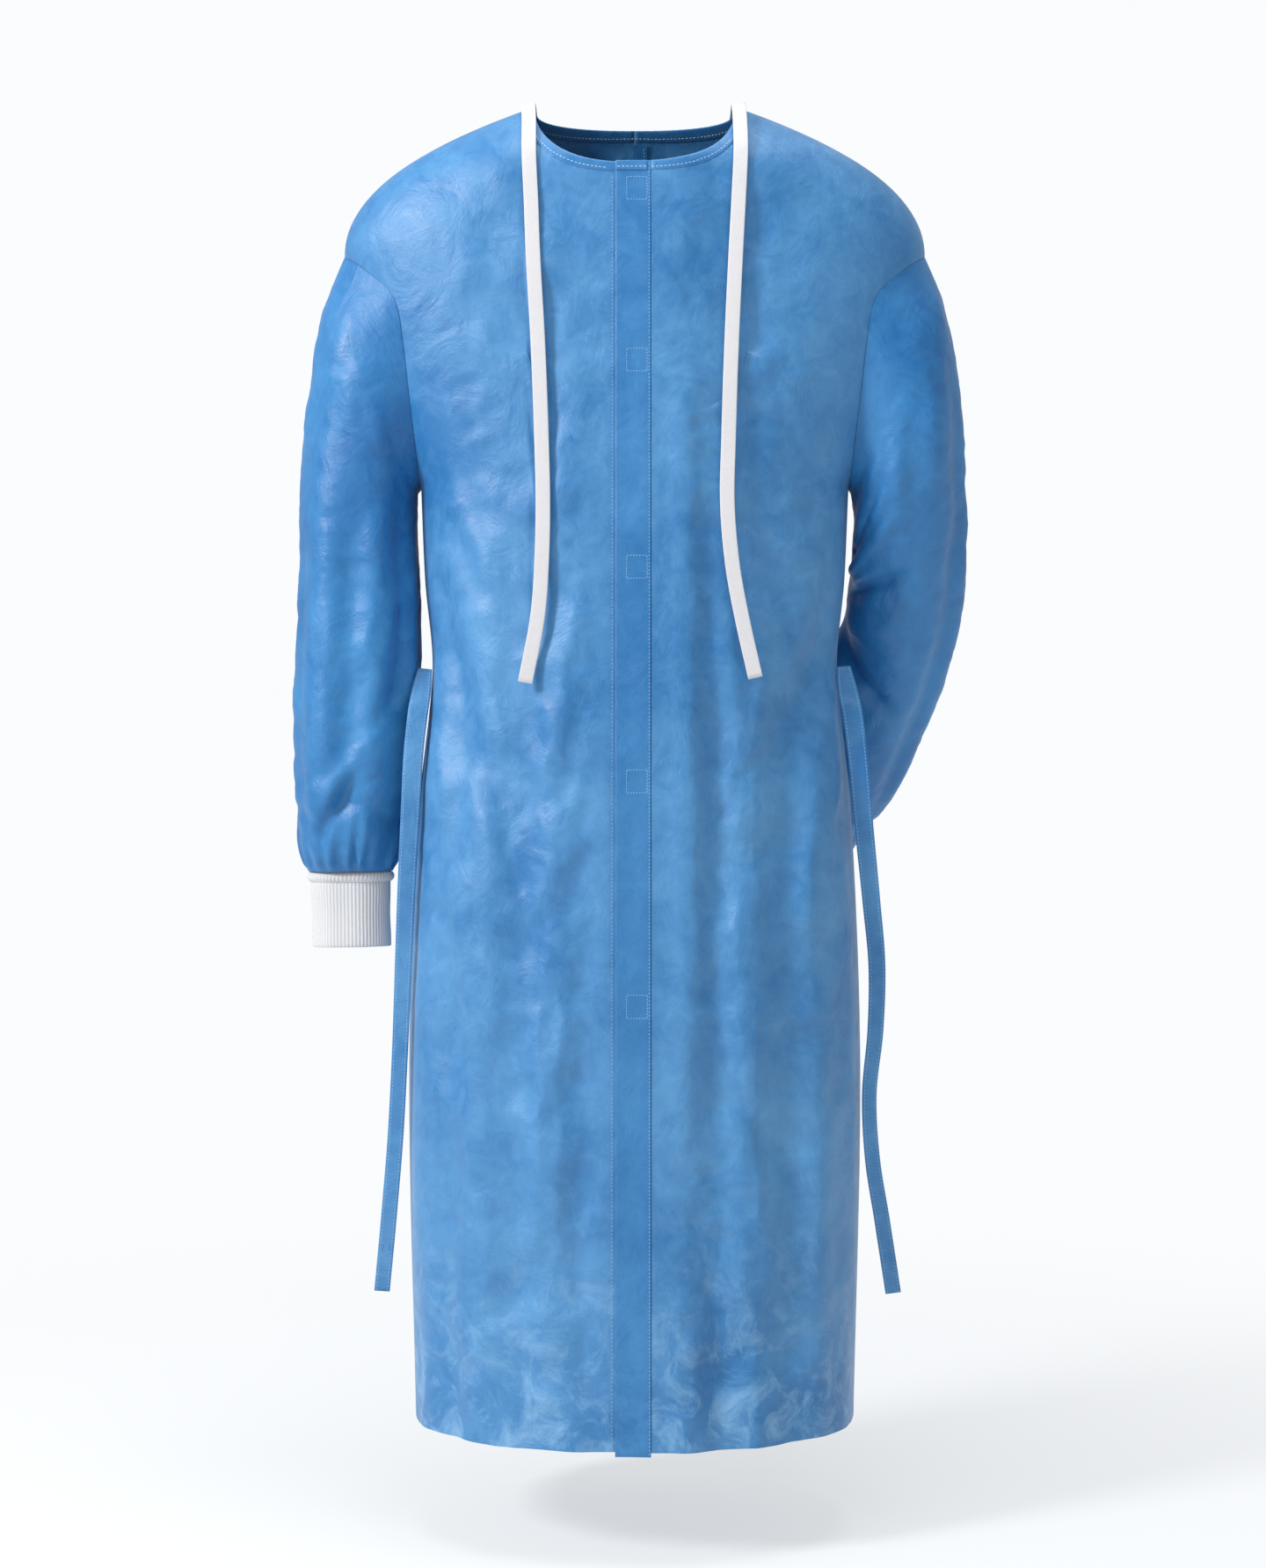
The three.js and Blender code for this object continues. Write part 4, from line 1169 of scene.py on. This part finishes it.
BENT_FOLDS = [
    ((0.50, 0.215), (0.22, 0.190), 0.009, -0.0055), ((0.50, 0.235), (0.18, 0.245), 0.009, 0.0045),
    ((0.50, 0.250), (0.16, 0.300), 0.009, -0.0050), ((0.48, 0.265), (0.20, 0.360), 0.009, 0.0040),
    ((0.52, 0.185), (0.26, 0.120), 0.010, 0.0036), ((0.50, 0.170), (0.34, 0.060), 0.010, -0.0034),
    ((0.10, 0.05), (0.09, 0.46), 0.010, -0.0034), ((0.03, 0.08), (0.03, 0.48), 0.011, 0.0030),
    ((0.20, 0.04), (0.17, 0.18), 0.012, 0.0030), ((0.28, 0.28), (0.30, 0.46), 0.010, -0.0032),
    ((0.58, 0.22), (0.86, 0.20), 0.012, 0.0034), ((0.60, 0.26), (0.84, 0.30), 0.012, -0.0034),
    ((0.66, 0.04), (0.70, 0.18), 0.013, -0.0030), ((0.78, 0.06), (0.78, 0.44), 0.013, 0.0032),
    ((0.90, 0.08), (0.92, 0.46), 0.012, -0.0030), ((0.40, 0.32), (0.42, 0.48), 0.010, 0.0030),
    ((0.68, 0.34), (0.66, 0.48), 0.012, -0.0030),
]

# %% Gather a sleeve at its wrist
GATHERS = 17


def fold_sleeve(points, run, folds, seed):
    angle = (np.arange(AROUND) / AROUND)[None]
    total = run[-1]
    s = run[:, None]
    rise = np.zeros(points.shape[:2])
    for start, end, width, height in folds:
        rise = rise + sleeve_fold(angle, s, start, end, width, height)
    rise += 0.0014 * bumps(points, 0.055, seed) + 0.0006 * bumps(points, 0.020, seed + 4, 3)
    to_wrist = ease(1 - (total - s) / 0.075)
    wobble = angle + 0.012 * np.sin(2 * math.pi * (3 * angle + 0.2)) + 0.006 * np.sin(s * 60)
    turns = 2 * math.pi * wobble
    pleat = np.sin(GATHERS * turns) + 0.5 * np.sin((GATHERS + 6) * turns + 1)
    uneven = 0.65 + 0.35 * np.sin(2 * math.pi * 5 * angle + 0.6)
    gathered = 0.0017 * pleat * uneven * to_wrist * ease((total - s + 0.004) / 0.014)
    rise = rise * (1 - 0.6 * to_wrist) + gathered
    seam_fade = ease((s - 0.002) / 0.035)
    wrist_fade = ease((total - s + 0.003) / 0.012)
    rise = np.clip(rise * 1.4, -0.0085, 0.0045)
    normals = grid_normals(points, tube=True)
    outward = np.sign(((points - points.mean(1, keepdims=True)) * normals).sum(-1).mean())
    return points + outward * normals * (rise * seam_fade * wrist_fade)[..., None]


# %% Make the two sleeves
def make_sleeve(name, nodes, side, rings, folds, seed):
    points, run = sleeve_grid(side, rings, 190)
    shaped = fold_sleeve(points, run, folds, seed)
    if side > 0:
        shaped = shaped[:, ::-1]
    piece = cloth_mesh(name, shaped, sleeve_cloth, tube=True)
    s = np.broadcast_to(run[:, None], shaped.shape[:2])
    hold = np.maximum(1 - ease(s / 0.05), 1 - ease((run[-1] - s) / 0.04))
    settle(piece, hold)
    area = sum(p.area for p in piece.data.polygons)
    thicken(piece, CLOTH)
    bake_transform(piece)
    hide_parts(*nodes)
    print(name, "area", round(area, 3), "length", round(float(run[-1]), 3))
    return piece


right_sleeve = make_sleeve(
    "right_sleeve_cloth", ("right_sleeve_head", "right_sleeve"), -1, HANGING_ARM, HANGING_FOLDS,
    11,
)
left_sleeve = make_sleeve(
    "left_sleeve_cloth", ("left_sleeve_head", "left_sleeve"), 1, BENT_ARM, BENT_FOLDS, 23
)

# %% [markdown]
# ## Cuffs
# The cuffs are ribbed knit: columns of loops that stand out, with hollows between them. The ribs are
# real ridges in the mesh. The rolled band at the top is the seam where the sleeve is gathered in.

# %% Knitted cuffs
CUFF_LENGTH = 0.064
CUFF_BAND = 0.009
RIBS = 66
PER_RIB = 5


def tube_rows(wrist, side, rows):
    """Rings below the wrist: each row is (distance, grow, rib height, phase)."""
    count = RIBS * PER_RIB
    turn = 2 * math.pi * np.arange(count) / count
    rings = []
    for distance, grow, rib, phase in rows:
        half_w = CUFF_HALF_WIDTH + grow
        half_d = CUFF_HALF_DEPTH + grow
        wave = rib * (0.5 + 0.5 * np.cos(RIBS * turn + phase)) ** 0.7
        soft = 0.0003 * np.sin(3 * turn + distance * 60) + 0.0002 * np.sin(7 * turn + 1)
        w, d = half_w + wave + soft, half_d + wave + soft
        centre = wrist["centre"] + wrist["along"] * distance
        across = wrist["wide"] * (w * np.cos(turn))[:, None]
        points = centre + across - wrist["deep"] * (d * np.sin(turn))[:, None]
        rings.append(points * [side, 1, 1])
    points = np.stack(rings)
    return points if side < 0 else points[:, ::-1]


# %% Make the two cuffs
def make_cuff(side_name, side, wrist, body):
    top = 0.0003
    band_rows = []
    for t in np.linspace(0, 1, 13):
        bulge = math.sin(math.pi * min(t * 1.05, 1)) ** 0.6
        band_rows.append((top + t * CUFF_BAND, 0.0012 + 0.0026 * bulge, 0.0004 + 0.0004 * bulge, 2.2 * t))
    band = cloth_mesh(f"{side_name}_cuff_roll", tube_rows(wrist, side, band_rows), rib_knit, tube=True,
                      uv=knit_uv(13, CUFF_BAND))
    thicken(band, 0.0012, -1.0)
    start = top + CUFF_BAND - 0.0006
    rows = []
    for t in np.linspace(0, 1, 26):
        grow = 0.0006 * (1 - t) ** 2 + 0.0002 * math.sin(9 * t)
        rows.append((start + t * (CUFF_LENGTH - CUFF_BAND + 0.0006), grow, 0.0006, 0.0))
    rows.append((rows[-1][0] + 0.0006, -0.0004, 0.0003, 0.0))
    cuff = cloth_mesh(f"{side_name}_cuff_knit", tube_rows(wrist, side, rows), rib_knit, tube=True,
                      uv=knit_uv(len(rows), CUFF_LENGTH))
    thicken(cuff, 0.0013, -1.0)
    for piece, node in ((band, f"{side_name}_cuff_band"), (cuff, f"{side_name}_cuff")):
        place_on(body, "rib_knit", piece, node)


def knit_uv(rows, length):
    count = RIBS * PER_RIB
    u = np.arange(count) / count * 160
    v = np.linspace(0, length * 1000, rows)
    return np.stack(np.broadcast_arrays(u[None], v[:, None]), -1)


make_cuff("right", -1, HANGING_ARM[-1], "right_arm")
make_cuff("left", 1, BENT_ARM[-1], "left_arm")

# %% [markdown]
# ## Stitches
# A lockstitch shows as a row of short threads, each dipping into the cloth at both ends. One stitch
# is modelled from a small cylinder with rounded ends, and copied along each line sewn below.

# %% Model one stitch
bpy.ops.object.select_all(action="DESELECT")
bpy.ops.mesh.primitive_cylinder_add(vertices=6, radius=0.5, depth=0.7, rotation=(0, math.pi / 2, 0))
stitch = bpy.context.object
stitch.name = "one_stitch"
bpy.ops.object.transform_apply(location=True, rotation=True, scale=True)
bpy.ops.object.mode_set(mode="EDIT")
bpy.ops.mesh.select_mode(type="FACE")
bpy.ops.object.mode_set(mode="OBJECT")
for face in stitch.data.polygons:
    face.select = abs(face.normal.x) > 0.9
bpy.ops.object.mode_set(mode="EDIT")
bpy.ops.mesh.inset(thickness=0.18, depth=0.14)
bpy.ops.object.mode_set(mode="OBJECT")
stitch_points = np.array([v.co for v in stitch.data.vertices])
stitch_points[:, 0] /= np.abs(stitch_points[:, 0]).max() * 2
stitch_points[:, 2] -= 0.5 * (2 * np.abs(stitch_points[:, 0])) ** 2
stitch_faces = [list(face.vertices) for face in stitch.data.polygons]
bpy.data.objects.remove(stitch)
print("one stitch", len(stitch_points), "points")


# %% Sew a line of stitches
def surface_of(*pieces):
    vertices, faces = [], []
    for piece in pieces:
        start = len(vertices)
        vertices += [v.co.copy() for v in piece.data.vertices]
        faces += [[start + i for i in p.vertices] for p in piece.data.polygons]
    return BVHTree.FromPolygons(vertices, faces)


def sew(name, lines, body, thread, pitch, share=0.62, width=0.0005, onto=None):
    """Stitches along lines, each a list of points and outward directions, laid onto a surface."""
    vertices, faces = [], []
    for line, outward in lines:
        line = np.asarray(line, float)
        outward = np.broadcast_to(np.asarray(outward, float), line.shape)
        run = np.concatenate([[0], np.cumsum(np.linalg.norm(np.diff(line, axis=0), axis=1))])
        count = max(int(run[-1] / pitch), 1)
        for k in range(count):
            at = (k + 0.5) * run[-1] / count
            ends = [at - share * pitch / 2, at + share * pitch / 2]
            a, b = (np.array([np.interp(e, run, line[:, c]) for c in range(3)]) for e in ends)
            up = np.array([np.interp(at, run, outward[:, c]) for c in range(3)])
            up /= np.linalg.norm(up)
            if onto:
                laid = []
                for p in (a, b):
                    hit, *_ = onto.ray_cast(Vector(p + up * 0.012), Vector(-up), 0.024)
                    laid.append(np.array(hit) if hit else p)
                a, b = laid
            along = b - a
            size = np.linalg.norm(along)
            if size < 1e-5 or size > 2 * pitch:
                continue
            along /= size
            across = np.cross(up, along)
            across /= np.linalg.norm(across)
            above = np.cross(along, across)
            local = stitch_points * [size, width, width]
            placed = (a + b) / 2 + local @ np.stack([along, across, above]) + above * width * 0.15
            start = len(vertices)
            vertices += placed.tolist()
            faces += [[start + i for i in f] for f in stitch_faces]
    mesh = bpy.data.meshes.new(name)
    mesh.from_pydata(vertices, [], faces)
    mesh.materials.append(thread)
    mesh.shade_smooth()
    piece = bpy.data.objects.new(name, mesh)
    bpy.context.scene.collection.objects.link(piece)
    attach(piece, body)
    print(name, len(faces) // len(stitch_faces), "stitches")
    return piece


# %% Sew the flap
FRONT = (0, -1, 0)
EDGE_STITCH = 0.0030
TAB_STITCH = 0.0022
BINDING_STITCH = 0.0034
SEAM_STITCH = 0.0032
drops = np.linspace(FRONT_NECK_DROP + 0.002, GOWN_LENGTH + 0.002, 240)
flap_surface = surface_of(flap)
fold_line = front_strip(np.full_like(drops, FLAP_EDGE - 0.0012), drops, FLAP_LIFT)
sew("flap_topstitch", [(fold_line, FRONT)], "front_flap", blue_thread, EDGE_STITCH, onto=flap_surface)
tab_lines = []
for drop in TAB_DROPS:
    left, right = TAB_X - TAB_WIDTH / 2 + 0.0006, TAB_X + TAB_WIDTH / 2 - 0.0006
    top, bottom = drop + 0.0006, drop + TAB_HEIGHT - 0.0006
    corners = [(left, top), (right, top), (right, bottom), (left, bottom), (left, top)]
    for (x0, d0), (x1, d1) in zip(corners, corners[1:]):
        t = np.linspace(0, 1, 12)
        tab_lines.append((front_strip(mix(x0, x1, t), mix(d0, d1, t), FLAP_LIFT), FRONT))
sew("fastener_stitches", tab_lines, "front_flap", blue_thread, TAB_STITCH, onto=flap_surface)

# %% [markdown]
# The rest of the sewing is done the same way. White thread holds the neck binding, and thread of the
# cloth's colour holds the facing under the front edge, the waist ties and the centre back seam.

# %% Sew the neckline
SEW_INTO_BINDING = 0.0052


def neck_seam(side, face, edge, outward, lift=None, t_start=0.0):
    x, drop = neckline(np.linspace(t_start, 1, 90), SEW_INTO_BINDING, face, edge)
    points, normals = on_body(side * x, drop, face)
    if lift is not None:
        points = points + normals * lift(x)[:, None]
    return points, normals * outward


neck_lines = [
    neck_seam(-1, -1, -UNDERLAP, 1, t_start=0.22), neck_seam(1, -1, STITCH_LINE, 1, left_lift),
    neck_seam(-1, 1, 0.0002, 1), neck_seam(1, 1, 0.0002, 1),
    neck_seam(-1, 1, 0.0002, -1), neck_seam(1, 1, 0.0002, -1),
]
neck_surface = surface_of(right_edge, left_edge, right_back_edge, left_back_edge)
sew("neck_stitches", neck_lines, "gown", white_thread, BINDING_STITCH, onto=neck_surface)
across = np.linspace(FLAP_EDGE - FLAP_WIDTH + 0.001, FLAP_EDGE - 0.003, 30)
flap_neck_line = front_strip(across, np.full_like(across, FRONT_NECK_DROP + SEW_INTO_BINDING), FLAP_LIFT)
flap_neck = [(flap_neck_line, FRONT)]
sew("flap_neck_stitches", flap_neck, "front_flap", white_thread, BINDING_STITCH, onto=surface_of(flap_edge))

# %% Sew the facing, the back seam and the waist ties
drops = np.linspace(FRONT_NECK_DROP + 0.012, GOWN_LENGTH - 0.003, 200)
facing_line, facing_out = on_body(np.full_like(drops, FLAP_EDGE - FLAP_WIDTH - 0.0026), drops, -1)
facing_lines = [(facing_line, facing_out)]
sew("facing_stitches", facing_lines, "gown", blue_thread, SEAM_STITCH, onto=surface_of(right_front))
drops = np.linspace(BACK_NECK_DROP + 0.012, GOWN_LENGTH - 0.003, 200)
back_lines = []
for beside, outward in ((0.0022, 1), (-0.0022, 1), (0.0085, -1)):
    line, out = on_body(np.full_like(drops, beside), drops, 1)
    back_lines.append((line, out * outward))
back_surface = surface_of(right_back, left_back, allowance)
sew("back_seam_stitches", back_lines, "gown", blue_thread, SEAM_STITCH, onto=back_surface)
for label, (tie, middle, side, up, half) in (("right", right_waist), ("left", left_waist)):
    beside = side * (half - 0.0020)[:, None]
    lines = [(middle + beside, -up), (middle - beside, -up)]
    sew(f"{label}_waist_stitches", lines, "gown", blue_thread, EDGE_STITCH, onto=surface_of(tie))
